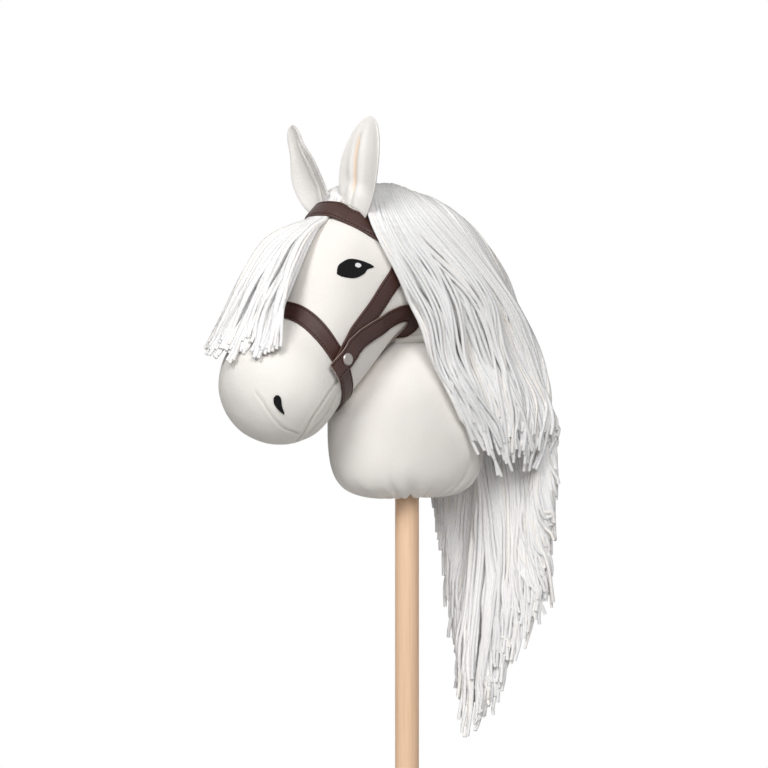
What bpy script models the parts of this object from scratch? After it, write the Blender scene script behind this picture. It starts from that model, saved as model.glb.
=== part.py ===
"""Hobby horse: a stuffed horse's head and neck on a round wooden stick, with a yarn mane and a bridle.

The frame has +Z up and its origin at the centre of the stick's foot. The horse looks along -X and its near
(left) side is -Y. Sizes are in metres, except the outline lists, which are in millimetres.
"""

import math

import bmesh
import bpy
import numpy as np
from mathutils import Matrix, Vector
from mathutils.bvhtree import BVHTree

MM = 0.001
PART_NAME = "hobby_horse"

# Clearances
SEAT_GAP = 0.0003
STRAP_SEAT = 0.0008
HAIR_SEAT = 0.0004

# Stick and the sewn sleeve that holds it
STICK_DIAMETER = 0.024
STICK_SHOWN_LENGTH = 0.619
STICK_END_ROUND = 0.002
SLEEVE_DEPTH = 0.221
SLEEVE_FIT = 0.0005
SLEEVE_WALL = 0.001

# Fabric
COVER_WALL = 0.0012
FABRIC_PANEL = 0.0012

# Neck pillow
NECK_HEIGHT = 0.155
NECK_LENGTH = 0.1735
NECK_WIDTH = 0.113
NECK_MOUTH_FRONT = -0.028
NECK_MOUTH_BACK = 0.088
NECK_MOUTH_HALF_WIDTH = 0.038
NECK_BASE_HOLE = 0.0315
JAW_CLEARANCE = 0.0035
GATHER_CORD_DIAMETER = 0.0022

# Head
HEAD_HALF_WIDTH = 0.053
MUZZLE_RADIUS = 0.061
MUZZLE_CENTRE_X = -0.157
MUZZLE_CENTRE_HEIGHT = -0.040
MUZZLE_AXIS_DROP = math.radians(34.3)

# Ears
EAR_HEIGHT = 0.096
EAR_WIDTH = 0.054
EAR_X = -0.085
EAR_SPREAD = 0.030
EAR_LEAN_OUT = math.radians(27)
EAR_LEAN_BACK = math.radians(-9)
EAR_TURN_OUT = math.radians(8)
EAR_FOLD = 0.011
EAR_BEND = 0.006
EAR_SEAT = 0.0014
EAR_LAST_ROW = 0.97

# Bridle
STRAP_WIDTH = 0.0185
STRAP_THICKNESS = 0.0016
REIN_TAB_PAST_SNAP = 0.015
REIN_TAB_ABOVE_SNAP = 0.013

# Snap fasteners, each on its own axis square to the cheek
SNAP_CAP_DIAMETER = 0.0124
SNAP_CAP_HEIGHT = 0.0020
SNAP_CAP_DOME = ((0.0, 1.0), (0.55, 0.94), (0.88, 0.66), (1.0, 0.2), (0.97, 0.0))
SNAP_RING_DIAMETER = 0.0096
SNAP_BARREL_DIAMETER = 0.0040
SNAP_HOLE_FIT = 0.0003
SNAP_PLATE = 0.0004
SNAP_NUB_HEIGHT = 0.0013
SNAP_NUB_DIAMETER = 0.0056
FLAT_RADIUS = 0.0135

# Embroidery
STITCH_PAD = 0.0008

# Mane and forelock
TAPE_WIDTH = 0.010
TAPE_THICKNESS = 0.0012
MANE_HANKS = 6
FORELOCK_HANKS = 3
HANK_GAP = 0.0011
HANK_ROOT_THICKNESS = 0.005
HANK_THICKNESS = 0.014
HANK_TIP_THICKNESS = 0.006
HANK_LEAST_THICKNESS = 0.003
ROOT_CROWDING = 1.4
MANE_OVER_STRAPS = 0.0068
HAIR_OVER_NOSEBAND = 0.0036
FORELOCK_ROOT_THICKNESS = 0.003
FORELOCK_THICKNESS = 0.016
FORELOCK_LOOSE_FROM = 0.28

NECK_BASE_Z = STICK_SHOWN_LENGTH
THROAT_Z = NECK_BASE_Z + NECK_HEIGHT
STICK_TOP_Z = NECK_BASE_Z + SLEEVE_DEPTH
BASE_DIMPLE = 0.0012
GATHER_CORD_Z = NECK_BASE_Z + BASE_DIMPLE + COVER_WALL + 3 * SEAT_GAP + GATHER_CORD_DIAMETER / 2

RING_POINTS = 12
CAGE_SWELL = 6.0 / (4.0 + 2.0 * math.cos(2.0 * math.pi / RING_POINTS))

# Layers at the snap fastener, as heights above the skin
PLATE_SEAT = 0.0004
NOSEBAND_AT_SNAP = PLATE_SEAT + SNAP_PLATE + 0.0005
HEADSTALL_AT_SNAP = NOSEBAND_AT_SNAP + STRAP_THICKNESS + 0.0016
STUD_SEAT = HEADSTALL_AT_SNAP + STRAP_THICKNESS + SEAT_GAP
SOCKET_SEAT = STUD_SEAT + SNAP_PLATE + SEAT_GAP
SOCKET_HEIGHT = SNAP_NUB_HEIGHT - 0.0001
REIN_AT_SNAP = SOCKET_SEAT + SOCKET_HEIGHT + 0.0005
REIN_OVER_STRAPS = 0.0064
BROWBAND_OVER_STRAP = STRAP_SEAT + STRAP_THICKNESS + 0.0005
BROWBAND_OVER_HAIR = HAIR_SEAT + FORELOCK_ROOT_THICKNESS + 0.0014
BROWBAND_TILT = 0.014
BROWBAND_TILT_FADE = (0.024, 0.044)

ROOT_SEAT = STRAP_SEAT + TAPE_THICKNESS + HAIR_SEAT
FILLING_INSET = COVER_WALL + 0.0038
ROUND_END_INSET = 1.8
STRAIGHT_BELOW = 0.97

UP = Vector((0.0, 0.0, 1.0))
PATCH_POINTS = 18

# Places and paths in millimetres: behind the stick's axis, above the throat seam, and to the far side.
# A strap's path runs from its near end to the middle plane, and its far half is the mirror image.
SNAP_PLACE = (-121.5, -17, -53)
HEADSTALL_PATH = (
    (-127, -24.5, -54), (-121.5, -17, -53), (-110, 0, -53), (-98, 14, -53), (-81, 33, -52), (-68, 50, -52),
    (-54, 68, -52), (-46, 88, -51), (-46, 108, -48), (-52, 132, -34), (-57, 147, -14), (-58, 149, 0),
)
BROWBAND_PATH = (
    (-40, 71, -53), (-53, 83, -51.5), (-66, 94.5, -48.5), (-80, 104, -44),
    (-94, 111.5, -35), (-104.5, 117.5, -20), (-109, 120, 0),
)
REIN_PATH = (
    (-134, -32, -54), (-121.5, -17, -53), (-108, -3, -53), (-88, 8, -53), (-70, 16, -53), (-45, 26, -50),
    (-28, 28, -42), (-22, 22, -33), (-28, 7, -20), (-39, -9, -8), (-42, -12, 0),
)
POLL_TAPE_PATH = ((-76, 144, -10), (-76, 145, 0), (-76, 144, 10))
CREST_PATH = (
    (-46, 147), (2, 142), (36, 129), (63, 104), (81, 69),
    (88, 27), (88, 0), (88, -44), (87, -84), (86, -109),
)

# Embroidery: outlines are to the right of and above their places as the near side is seen from outside.
EYE_PLACE = (-102, 71, -48)
EYE_OUTLINE = (
    (-20, -6), (-18, 2), (-11, 7), (-4, 9), (8, 7), (20, 2), (13, -1), (8, -6), (-2, -10), (-14, -9),
)
GLINT_CENTRE = (2.5, 2.5)
NOSTRIL_PLACE = (-193, -61, -46)
NOSTRIL_OUTLINE = (
    (-5, 7), (-2, 10), (2, 9.5), (4.4, 6), (4.7, 0),
    (5.6, -5), (7.2, -11), (2.6, -8), (-1.2, -4), (-4.4, 1),
)

# Guide yarns in millimetres, each from the sewn end to the tip. Mane guides follow the outside of
# the hair from the front of the crest to its lower end, the forelock's follow the inside from the
# far side to the near one.
NEAR_MANE_GUIDES = (
    ((-56, 163, -24), (-78, 120, -52), (-58, 66, -64), (-30, 18, -68),
     (-4, -30, -70), (24, -80, -70), (46, -119, -66)),
    ((20, 147, -22), (18, 122, -56), (34, 68, -72), (54, 12, -76),
     (74, -42, -77), (92, -92, -73), (98, -112, -69)),
    ((86, 96, -18), (94, 70, -40), (104, 22, -62), (122, -34, -68),
     (140, -88, -65), (150, -124, -60), (152, -138, -56)),
    ((106, 18, -14), (121, -14, -34), (130, -62, -47), (132, -126, -53),
     (132, -192, -54), (141, -250, -55), (144, -272, -54)),
    ((104, -52, -8), (117, -80, -19), (126, -128, -28), (127, -184, -34),
     (124, -244, -38), (122, -298, -39), (120, -318, -38)),
    ((101, -120, -2), (108, -150, -4), (110, -200, -6), (104, -260, -8),
     (98, -320, -9), (92, -370, -9), (88, -394, -8)),
)
FAR_MANE_GUIDES = (
    ((-56, 163, 24), (-78, 120, 52), (-58, 66, 64), (-30, 18, 68),
     (-4, -30, 70), (22, -84, 70), (40, -125, 66)),
    ((20, 147, 22), (18, 122, 56), (32, 68, 72), (46, 12, 76),
     (58, -42, 77), (70, -100, 73), (76, -134, 69)),
    ((84, 96, 18), (92, 70, 40), (99, 22, 60), (102, -36, 67),
     (100, -100, 68), (97, -166, 66), (95, -222, 63)),
    ((106, 18, 14), (119, -14, 34), (122, -62, 46), (117, -126, 52),
     (110, -192, 53), (102, -256, 51), (98, -290, 48)),
    ((104, -52, 8), (116, -80, 18), (118, -128, 27), (113, -184, 31),
     (104, -250, 33), (97, -320, 31), (92, -368, 28)),
    ((101, -120, 2), (107, -150, 4), (108, -200, 7), (103, -260, 9),
     (96, -320, 10), (91, -366, 10), (88, -388, 9)),
)
FORELOCK_GUIDES = (
    ((-77, 142, 8), (-100, 131, 12), (-120, 116, 18), (-146, 96, 30), (-180, 48, 44), (-206, -3, 56)),
    ((-77, 142, 0), (-104, 129, 0), (-124, 110, 0), (-148, 84, 4), (-186, 36, 8), (-224, -9, 10)),
    ((-77, 142, -8), (-100, 131, -12), (-116, 118, -16), (-134, 98, -22), (-169, 50, -36), (-196, -9, -47)),
)

# Head outline in millimetres: throat x and height, crest x and height, half width as a share of the head's.
# Heights are above the throat seam. The first row is the seam itself and comes from the neck's mouth.
HEAD_ROWS = (
    (-28, 3, 88, 27, 0.80),
    (-28, 5, 81, 69, 0.87),
    (-29, 6, 63, 104, 0.93),
    (-30, 6, 36, 129, 0.97),
    (-32, 4, 2, 142, 0.99),
    (-36, 0, -35, 146, 1.00),
    (-44, -9, -70, 142, 1.00),
    (-56, -23, -98, 132, 0.99),
    (-68, -37, -121, 111, 0.98),
    (-79, -48, -136, 86, 0.98),
    (-88, -56, -147, 58, 0.96),
    (-96, -63, -156, 29, 0.93),
)
MUZZLE_ANGLES = (118, 95, 72, 50, 28)

# Neck outline: height as a share of the neck's, then half length and half width as shares of the neck's.
NECK_ROWS = (
    (0.95, 1.00, 0.78),
    (0.86, 1.00, 0.87),
    (0.74, 1.01, 0.94),
    (0.60, 1.01, 0.99),
    (0.44, 1.00, 1.01),
    (0.28, 0.99, 1.00),
    (0.145, 0.94, 0.93),
    (0.055, 0.81, 0.77),
    (0.012, 0.58, 0.56),
    (0.000, 0.36, 0.42),
)


def reset_scene():
    for item in list(bpy.data.objects):
        bpy.data.objects.remove(item, do_unlink=True)


def new_collection(name):
    collection = bpy.data.collections.new(name)
    bpy.context.scene.collection.children.link(collection)
    return collection


def new_material(name, colour, roughness, metallic=0.0):
    material = bpy.data.materials.new(name)
    material.use_nodes = True
    shader = material.node_tree.nodes["Principled BSDF"]
    shader.inputs["Base Color"].default_value = (*colour, 1.0)
    shader.inputs["Roughness"].default_value = roughness
    shader.inputs["Metallic"].default_value = metallic
    return material


def add_object(name, mesh, material, collection):
    item = bpy.data.objects.new(name, mesh)
    collection.objects.link(item)
    item.data.materials.clear()
    item.data.materials.append(material)
    mesh.shade_smooth()
    mesh.set_sharp_from_angle(angle=math.radians(40))
    return item


def mesh_from(name, points, faces):
    mesh = bpy.data.meshes.new(name)
    mesh.from_pydata([tuple(point) for point in points], [], faces)
    mesh.update()
    return mesh


def baked_mesh(item):
    depsgraph = bpy.context.evaluated_depsgraph_get()
    return bpy.data.meshes.new_from_object(item.evaluated_get(depsgraph))


def bake_modifiers(item):
    """Make what the modifiers show the object's own mesh."""
    mesh = baked_mesh(item)
    item.modifiers.clear()
    item.data = mesh


def subdivide(item, levels):
    modifier = item.modifiers.new("soft form", "SUBSURF")
    modifier.levels = levels
    modifier.render_levels = levels
    return modifier


def solidify(item, thickness, offset):
    modifier = item.modifiers.new("wall", "SOLIDIFY")
    modifier.thickness = thickness
    modifier.offset = offset
    modifier.use_even_offset = False
    return modifier


def cut(item, cutter):
    modifier = item.modifiers.new("cut", "BOOLEAN")
    modifier.operation = "DIFFERENCE"
    modifier.solver = "EXACT"
    modifier.object = cutter
    return modifier


def mirrored(item, name, collection):
    """The far-side twin of a near-side piece."""
    mesh = item.data.copy()
    mesh.transform(Matrix.Diagonal((1.0, -1.0, 1.0, 1.0)))
    mesh.flip_normals()
    twin = bpy.data.objects.new(name, mesh)
    collection.objects.link(twin)
    return twin


def at(x, height, y=0.0):
    """A point from how far it is behind the stick's axis and above the throat seam, both in millimetres."""
    return Vector((x * MM, y * MM, THROAT_Z + height * MM))


def mirror_point(point):
    return Vector((point.x, -point.y, point.z))


def spline(points, share):
    """The point at a share of the way along a smooth curve through the given points."""
    ends = [2 * points[0] - points[1], *points, 2 * points[-1] - points[-2]]
    position = min(max(share, 0.0), 1.0) * (len(points) - 1)
    index = min(int(position), len(points) - 2)
    t = position - index
    before, start, end, after = ends[index:index + 4]
    return 0.5 * (2 * start + (end - before) * t
                  + (2 * before - 5 * start + 4 * end - after) * t ** 2
                  + (3 * start - before - 3 * end + after) * t ** 3)


def smooth_path(points, count):
    """Evenly spaced points on a smooth curve through the given ones."""
    steps = 12 * (len(points) - 1)
    fine = [spline(points, step / steps) for step in range(steps + 1)]
    lengths = np.cumsum([0.0] + [(b - a).length for a, b in zip(fine, fine[1:])])
    wanted = np.linspace(0.0, lengths[-1], count)
    columns = [np.interp(wanted, lengths, [point[axis] for point in fine]) for axis in range(3)]
    return [Vector(point) for point in zip(*columns)]


def smooth_step(value):
    value = min(max(value, 0.0), 1.0)
    return value * value * (3 - 2 * value)


def superellipse(angle, fullness=2.25):
    """A point on a unit ring that is a little squarer than a circle."""
    power = 2.0 / fullness
    along = math.copysign(abs(math.cos(angle)) ** power, math.cos(angle))
    across = math.copysign(abs(math.sin(angle)) ** power, math.sin(angle))
    return along, across


def section_ring(throat, crest, half_width, inset=0.0, fullness=2.25):
    """A closed ring between a throat point and a crest point, both on the middle plane.

    A ring with no inset is part of a cage, and is drawn larger by what subdivision takes off it.
    """
    swell = CAGE_SWELL if inset == 0.0 else 1.0
    middle = (throat + crest) / 2
    half = (crest - throat) / 2
    long_axis = half.normalized() * (half.length - inset) * swell
    wide_axis = Vector((0.0, -(half_width - inset) * swell, 0.0))
    ring = []
    for index in range(RING_POINTS):
        along, across = superellipse(2 * math.pi * index / RING_POINTS, fullness)
        ring.append(middle + long_axis * along + wide_axis * across)
    return ring


def tube_mesh(name, rings, pole=None):
    """Quads between rings, closed by a fan where a pole is given."""
    points = [point for ring in rings for point in ring]
    count = len(rings[0])
    faces = []
    for row in range(len(rings) - 1):
        for index in range(count):
            after = (index + 1) % count
            faces.append((row * count + index, row * count + after,
                          (row + 1) * count + after, (row + 1) * count + index))
    if pole is not None:
        points.append(pole)
        last = (len(rings) - 1) * count
        faces += [(last + index, last + (index + 1) % count, len(points) - 1) for index in range(count)]
    return mesh_from(name, points, faces)


def face_outwards(mesh):
    form = bmesh.new()
    form.from_mesh(mesh)
    bmesh.ops.recalc_face_normals(form, faces=form.faces)
    form.to_mesh(mesh)
    form.free()


def close_holes(item):
    """Fill each open rim of a mesh with one flat face."""
    form = bmesh.new()
    form.from_mesh(item.data)
    rims = [edge for edge in form.edges if edge.is_boundary]
    bmesh.ops.holes_fill(form, edges=rims, sides=0)
    bmesh.ops.recalc_face_normals(form, faces=form.faces)
    form.to_mesh(item.data)
    form.free()


# Head and neck forms

def head_points(row):
    throat_x, throat_height, crest_x, crest_height, width_share = row
    throat = Vector((throat_x * MM, 0.0, THROAT_Z + throat_height * MM))
    crest = Vector((crest_x * MM, 0.0, THROAT_Z + crest_height * MM))
    return throat, crest, width_share * HEAD_HALF_WIDTH


def head_cage(inset=0.0, rim_lift=0.0):
    mouth = (Vector((NECK_MOUTH_FRONT, 0.0, THROAT_Z + rim_lift)),
             Vector((NECK_MOUTH_BACK, 0.0, THROAT_Z + rim_lift)), NECK_MOUTH_HALF_WIDTH)
    rings = [section_ring(*mouth, inset=inset)]
    rings += [section_ring(*head_points(row), inset=inset) for row in HEAD_ROWS]
    centre = Vector((MUZZLE_CENTRE_X, 0.0, THROAT_Z + MUZZLE_CENTRE_HEIGHT))
    axis = Vector((-math.cos(MUZZLE_AXIS_DROP), 0.0, -math.sin(MUZZLE_AXIS_DROP)))
    upward = Vector((-math.sin(MUZZLE_AXIS_DROP), 0.0, math.cos(MUZZLE_AXIS_DROP)))
    radius = MUZZLE_RADIUS - ROUND_END_INSET * inset
    for angle in MUZZLE_ANGLES:
        slice_centre = centre + axis * radius * math.cos(math.radians(angle))
        slice_radius = radius * math.sin(math.radians(angle))
        rings.append(section_ring(slice_centre - upward * slice_radius,
                                  slice_centre + upward * slice_radius, slice_radius, fullness=2.0))
    return rings, centre + axis * radius


def throat_line_x(z):
    """How far forward the underside of the jaw is at a height."""
    heights = [THROAT_Z + row[1] * MM for row in HEAD_ROWS[4:]]
    places = [row[0] * MM for row in HEAD_ROWS[4:]]
    return float(np.interp(z, heights[::-1], places[::-1]))


def neck_cage(inset=0.0, end_gap=0.0):
    rings = [section_ring(Vector((NECK_MOUTH_FRONT, 0.0, THROAT_Z - end_gap)),
                          Vector((NECK_MOUTH_BACK, 0.0, THROAT_Z - end_gap)),
                          NECK_MOUTH_HALF_WIDTH, inset=inset)]
    for height_share, length_share, width_share in NECK_ROWS:
        z = NECK_BASE_Z + NECK_HEIGHT * height_share
        z = max(z, NECK_BASE_Z + ROUND_END_INSET * inset)
        front = max(-NECK_LENGTH / 2 * length_share, throat_line_x(z) + JAW_CLEARANCE * math.sqrt(2.0))
        back = NECK_LENGTH / 2 * length_share
        ring_inset = inset * (ROUND_END_INSET if height_share < 0.1 else 1.0)
        rings.append(section_ring(Vector((front, 0.0, z)), Vector((back, 0.0, z)),
                                  NECK_WIDTH / 2 * width_share, inset=ring_inset))
    hole = NECK_BASE_HOLE / 2 + inset
    z = NECK_BASE_Z + BASE_DIMPLE + ROUND_END_INSET * inset
    rings.append(section_ring(Vector((-hole, 0.0, z)), Vector((hole, 0.0, z)), hole, fullness=2.0))
    return rings


class Surface:
    """A smooth skin that other pieces lie on, also kept as the closed form that hair hangs clear of."""

    def __init__(self, item):
        mesh = baked_mesh(item)
        form = bmesh.new()
        form.from_mesh(mesh)
        self.skin = BVHTree.FromBMesh(form)
        bmesh.ops.holes_fill(form, edges=[edge for edge in form.edges if edge.is_boundary], sides=0)
        bmesh.ops.recalc_face_normals(form, faces=form.faces)
        self.form = BVHTree.FromBMesh(form)
        form.free()
        bpy.data.meshes.remove(mesh)

    def seat(self, point, height):
        """The point above the skin that is nearest to a point, and the skin's normal there."""
        place, normal, _, _ = self.skin.find_nearest(point)
        return place + normal * height, normal

    def lift(self, point, clearance):
        """Move a point out until it clears the form.

        The skin is straight above or below a point inside the form, but to the side of one past its rim.
        """
        place, normal, _, distance = self.form.find_nearest(point)
        inside = (point - place).dot(normal) < -STRAIGHT_BELOW * distance
        if inside or distance < clearance:
            return place + normal * clearance
        return point


class Body:
    """The head's and the neck's skins together."""

    def __init__(self, surfaces):
        self.surfaces = surfaces

    def seat(self, point, height):
        seats = [surface.seat(point, height) for surface in self.surfaces]
        return min(seats, key=lambda seat: (seat[0] - point).length)

    def lift(self, point, clearance):
        for surface in self.surfaces * 2:
            point = surface.lift(point, clearance)
        return point


def soft_skin(name, rings, pole, material, collection):
    """A cover's skin as a subdivided cage, with the smooth surface that other pieces seat on."""
    mesh = tube_mesh(name, rings, pole)
    face_outwards(mesh)
    heart = sum((point for ring in rings for point in ring), Vector()) / (len(rings) * RING_POINTS)
    if sum((face.center - heart).dot(face.normal) for face in mesh.polygons) < 0.0:
        mesh.flip_normals()
    item = add_object(name, mesh, material, collection)
    modifier = subdivide(item, 3)
    bpy.context.view_layer.update()
    surface = Surface(item)
    modifier.levels = 1
    modifier.render_levels = 1
    solidify(item, COVER_WALL, -1.0)
    return item, surface


def stuffing(name, rings, pole, cutter, material, collection):
    """A filling that follows its cover from inside and leaves room for the stick's sleeve."""
    item = add_object(name, tube_mesh(name, rings, pole), material, collection)
    close_holes(item)
    cut(item, cutter)
    return item


# Stick, sleeve and gathering cord

def turned(name, profile, steps, material, collection):
    """A solid of revolution from a profile of radius and height, listed down its outer side."""
    points = [(radius, 0.0, height) for radius, height in profile]
    mesh = bpy.data.meshes.new(name)
    mesh.from_pydata(points, [(i, i + 1) for i in range(len(points) - 1)], [])
    item = bpy.data.objects.new(name, mesh)
    collection.objects.link(item)
    modifier = item.modifiers.new("turn", "SCREW")
    modifier.steps = steps
    modifier.render_steps = steps
    modifier.use_merge_vertices = True
    modifier.merge_threshold = 0.00001
    bpy.context.view_layer.update()
    bake_modifiers(item)
    face_outwards(item.data)
    item.data.materials.clear()
    if material is not None:
        item.data.materials.append(material)
    item.data.shade_smooth()
    item.data.set_sharp_from_angle(angle=math.radians(40))
    return item


def make_stick(material, collection):
    radius = STICK_DIAMETER / 2
    rounding = STICK_END_ROUND
    profile = [(0.0, STICK_TOP_Z)]
    profile += [(radius - rounding, STICK_TOP_Z), (radius - rounding * 0.29, STICK_TOP_Z - rounding * 0.29),
                (radius, STICK_TOP_Z - rounding)]
    profile += [(radius, rounding * 0.5), (radius - rounding * 0.5, 0.0), (0.0, 0.0)]
    return turned("stick", profile, 32, material, collection)


def make_sleeve(material, collection):
    inner = STICK_DIAMETER / 2 + SLEEVE_FIT
    outer = inner + SLEEVE_WALL
    bottom = NECK_BASE_Z + 0.002
    roof = STICK_TOP_Z + SEAT_GAP
    profile = [(0.0, roof + SLEEVE_WALL), (outer, roof + SLEEVE_WALL), (outer, bottom), (inner, bottom),
               (inner, roof), (0.0, roof)]
    return turned("stick_sleeve", profile, 24, material, collection)


def make_gather_cord(material, collection):
    ring_radius = STICK_DIAMETER / 2 + SLEEVE_FIT + SLEEVE_WALL + SEAT_GAP + GATHER_CORD_DIAMETER / 2
    bpy.ops.mesh.primitive_torus_add(
        major_segments=20, minor_segments=6,
        major_radius=ring_radius, minor_radius=GATHER_CORD_DIAMETER / 2,
        location=(0.0, 0.0, GATHER_CORD_Z))
    item = bpy.context.active_object
    item.name = "gather_cord"
    for owner in list(item.users_collection):
        owner.objects.unlink(item)
    collection.objects.link(item)
    item.data.materials.append(material)
    item.data.shade_smooth()
    return item


def make_sleeve_cutter(collection):
    """Room inside the fillings for the sleeve and, at the base, for the gathering cord."""
    sleeve_room = STICK_DIAMETER / 2 + SLEEVE_FIT + SLEEVE_WALL + SEAT_GAP
    cord_room = sleeve_room + GATHER_CORD_DIAMETER + SEAT_GAP
    cord_top = GATHER_CORD_Z + GATHER_CORD_DIAMETER / 2 + SEAT_GAP
    roof = STICK_TOP_Z + SLEEVE_WALL + 2 * SEAT_GAP
    floor = NECK_BASE_Z - 0.01
    profile = [(0.0, roof), (sleeve_room, roof), (sleeve_room, cord_top), (cord_room, cord_top),
               (cord_room, floor), (0.0, floor)]
    item = turned("sleeve_room", profile, 20, None, collection)
    item.hide_render = True
    item.display_type = "WIRE"
    return item


# Ears

def ear_half_width(share):
    """Half width of the leaf shape, from its folded base to its rounded tip."""
    leaf = math.sin(math.pi * (0.12 + 0.879 * share)) ** 0.52
    return EAR_WIDTH / 2 * leaf


def ear_point(share, across):
    """A point on the near ear's middle surface: share of its height, and -1 to 1 across it."""
    half = ear_half_width(share)
    fold = EAR_FOLD * (1.0 - 0.55 * share) * (1.0 - across * across)
    bend = EAR_BEND * math.sin(math.pi * share)
    return Vector((fold - bend, across * half, EAR_HEIGHT * share))


def ear_frame(surface):
    """Where the near ear is sewn on, and how it is turned."""
    root, _ = surface.seat(Vector((EAR_X, -EAR_SPREAD, THROAT_Z + 0.14)), EAR_SEAT)
    turn = (Matrix.Rotation(EAR_LEAN_OUT, 4, "X") @ Matrix.Rotation(EAR_LEAN_BACK, 4, "Y")
            @ Matrix.Rotation(EAR_TURN_OUT, 4, "Z"))
    return Matrix.Translation(root) @ turn


def make_ear_panel(name, side, frame, surface, material, collection):
    """One leaf of the ear: a curved panel of fabric that ends just above the head."""
    rows, columns = 9, 7
    points = []
    for row in range(rows):
        share = EAR_LAST_ROW * (row / (rows - 1)) ** 0.9
        for column in range(columns):
            across = -1.0 + 2.0 * column / (columns - 1)
            point = frame @ ear_point(share, across)
            if row == 0:
                point, _ = surface.seat(point, EAR_SEAT)
            points.append(point)
    tip = frame @ ear_point(1.0, 0.0)
    points.append(tip)
    faces = []
    for row in range(rows - 1):
        for column in range(columns - 1):
            first = row * columns + column
            faces.append((first, first + 1, first + columns + 1, first + columns))
    last = (rows - 1) * columns
    faces += [(last + column, last + column + 1, len(points) - 1) for column in range(columns - 1)]
    item = add_object(name, mesh_from(name, points, faces), material, collection)
    solidify(item, FABRIC_PANEL, side * (1.0 + SEAT_GAP / FABRIC_PANEL))
    bake_modifiers(item)
    face_outwards(item.data)
    return item


# Bridle

def eased(distance, near_value, far_value, start, end):
    """A height that eases from one value to another with distance."""
    return near_value + (far_value - near_value) * smooth_step((distance - start) / (end - start))


def strap_grid(path, count, surface, height_at, width, closed=False):
    """Three rows of points across a strap, seated on a skin at each step of its path."""
    line = smooth_path(path, count + 1 if closed else count)
    line = line[:count]
    seated = [surface.seat(point, 0.0) for point in line]
    grid = []
    for index, (point, normal) in enumerate(seated):
        before = seated[index - 1] if closed or index else seated[0]
        after = seated[(index + 1) % count] if closed or index + 1 < count else seated[-1]
        along = (after[0] - before[0]).normalized()
        outward = (before[1] + normal + after[1]).normalized()
        across = outward.cross(along).normalized()
        row = []
        for share in (-0.5, 0.0, 0.5):
            edge, edge_normal = surface.seat(point + across * share * width, 0.0)
            row.append(edge + (edge_normal + 2 * outward).normalized() * height_at(point))
        grid.append(row)
    return grid


def grid_mesh(name, grid, closed=False):
    columns = len(grid[0])
    points = [point for row in grid for point in row]
    rows = len(grid) if closed else len(grid) - 1
    faces = []
    for row in range(rows):
        below = (row + 1) % len(grid)
        for column in range(columns - 1):
            faces.append((row * columns + column, row * columns + column + 1,
                          below * columns + column + 1, below * columns + column))
    return mesh_from(name, points, faces)


def thicken(item, thickness, surface):
    """Give an open piece its thickness, outwards from the skin below."""
    face = item.data.polygons[len(item.data.polygons) // 2]
    _, normal = surface.seat(face.center, 0.0)
    if face.normal.dot(normal) < 0.0:
        item.data.flip_normals()
    solidify(item, thickness, 1.0)
    bake_modifiers(item)
    face_outwards(item.data)
    item.data.set_sharp_from_angle(angle=math.radians(40))


def make_strap(name, path, count, surface, height_at, material, collection, closed=False, width=STRAP_WIDTH,
               thickness=STRAP_THICKNESS, settle=None):
    """A strap along a path on a skin; settle, if given, moves the points of its underside."""
    grid = strap_grid(path, count, surface, height_at, width, closed)
    if settle is not None:
        grid = [[settle(point) for point in row] for row in grid]
    item = add_object(name, grid_mesh(name, grid, closed), material, collection)
    thicken(item, thickness, surface)
    return item


def snap_place(surface):
    """A frame with its origin on the skin and +Z out of it, where the near snap fastener sits."""
    place, normal = surface.seat(at(*SNAP_PLACE), 0.0)
    level = UP.cross(normal).normalized()
    rotation = Matrix((level, normal.cross(level), normal)).transposed().to_4x4()
    return Matrix.Translation(place) @ rotation


def snap_distance(point, snap):
    """How far a point on either side of the head is from the snap fastener of its side."""
    near = Vector((point.x, -abs(point.y), point.z))
    return (near - snap.translation).length


def flat_at_snap(snap, height):
    """Moves a strap's points so that it is flat round the snap fasteners."""
    def settle(point):
        local = snap.inverted() @ Vector((point.x, -abs(point.y), point.z))
        if math.hypot(local.x, local.y) > FLAT_RADIUS:
            return point
        flat = snap @ Vector((local.x, local.y, height))
        return Vector((flat.x, math.copysign(flat.y, point.y), flat.z))

    return settle


def bored(item, holes):
    """Cut the snap fastener's holes through a strap."""
    for hole in holes:
        cut(item, hole)
    bpy.context.view_layer.update()
    bake_modifiers(item)
    return item


def make_hole_cutters(snap, collection):
    radius = SNAP_BARREL_DIAMETER / 2 + SNAP_HOLE_FIT
    profile = [(0.0, 0.02), (radius, 0.02), (radius, -0.005), (0.0, -0.005)]
    near = turned("near_snap_hole", profile, 16, None, collection)
    near.data.transform(snap)
    far = mirrored(near, "far_snap_hole", collection)
    for item in (near, far):
        item.hide_render = True
        item.display_type = "WIRE"
    return near, far


def make_noseband(surface, snap, holes, material, collection):
    ring = section_ring(*head_points(HEAD_ROWS[-1]))
    path = [*ring, ring[0]]

    def height_at(point):
        return eased(snap_distance(point, snap), NOSEBAND_AT_SNAP, STRAP_SEAT, 0.008, 0.020)

    item = make_strap("noseband", path, 36, surface, height_at, material, collection, closed=True)
    return bored(item, holes)


def make_headstall(surface, snap, holes, material, collection):
    """Both cheek pieces and the crownpiece behind the ears, in one strap."""
    half = [at(*point) for point in HEADSTALL_PATH]
    path = half + [mirror_point(point) for point in reversed(half[:-1])]

    def height_at(point):
        return eased(snap_distance(point, snap), HEADSTALL_AT_SNAP, STRAP_SEAT, 0.014, 0.034)

    item = make_strap("headstall_strap", path, 44, surface, height_at, material, collection,
                      settle=flat_at_snap(snap, HEADSTALL_AT_SNAP))
    return bored(item, holes)


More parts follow.
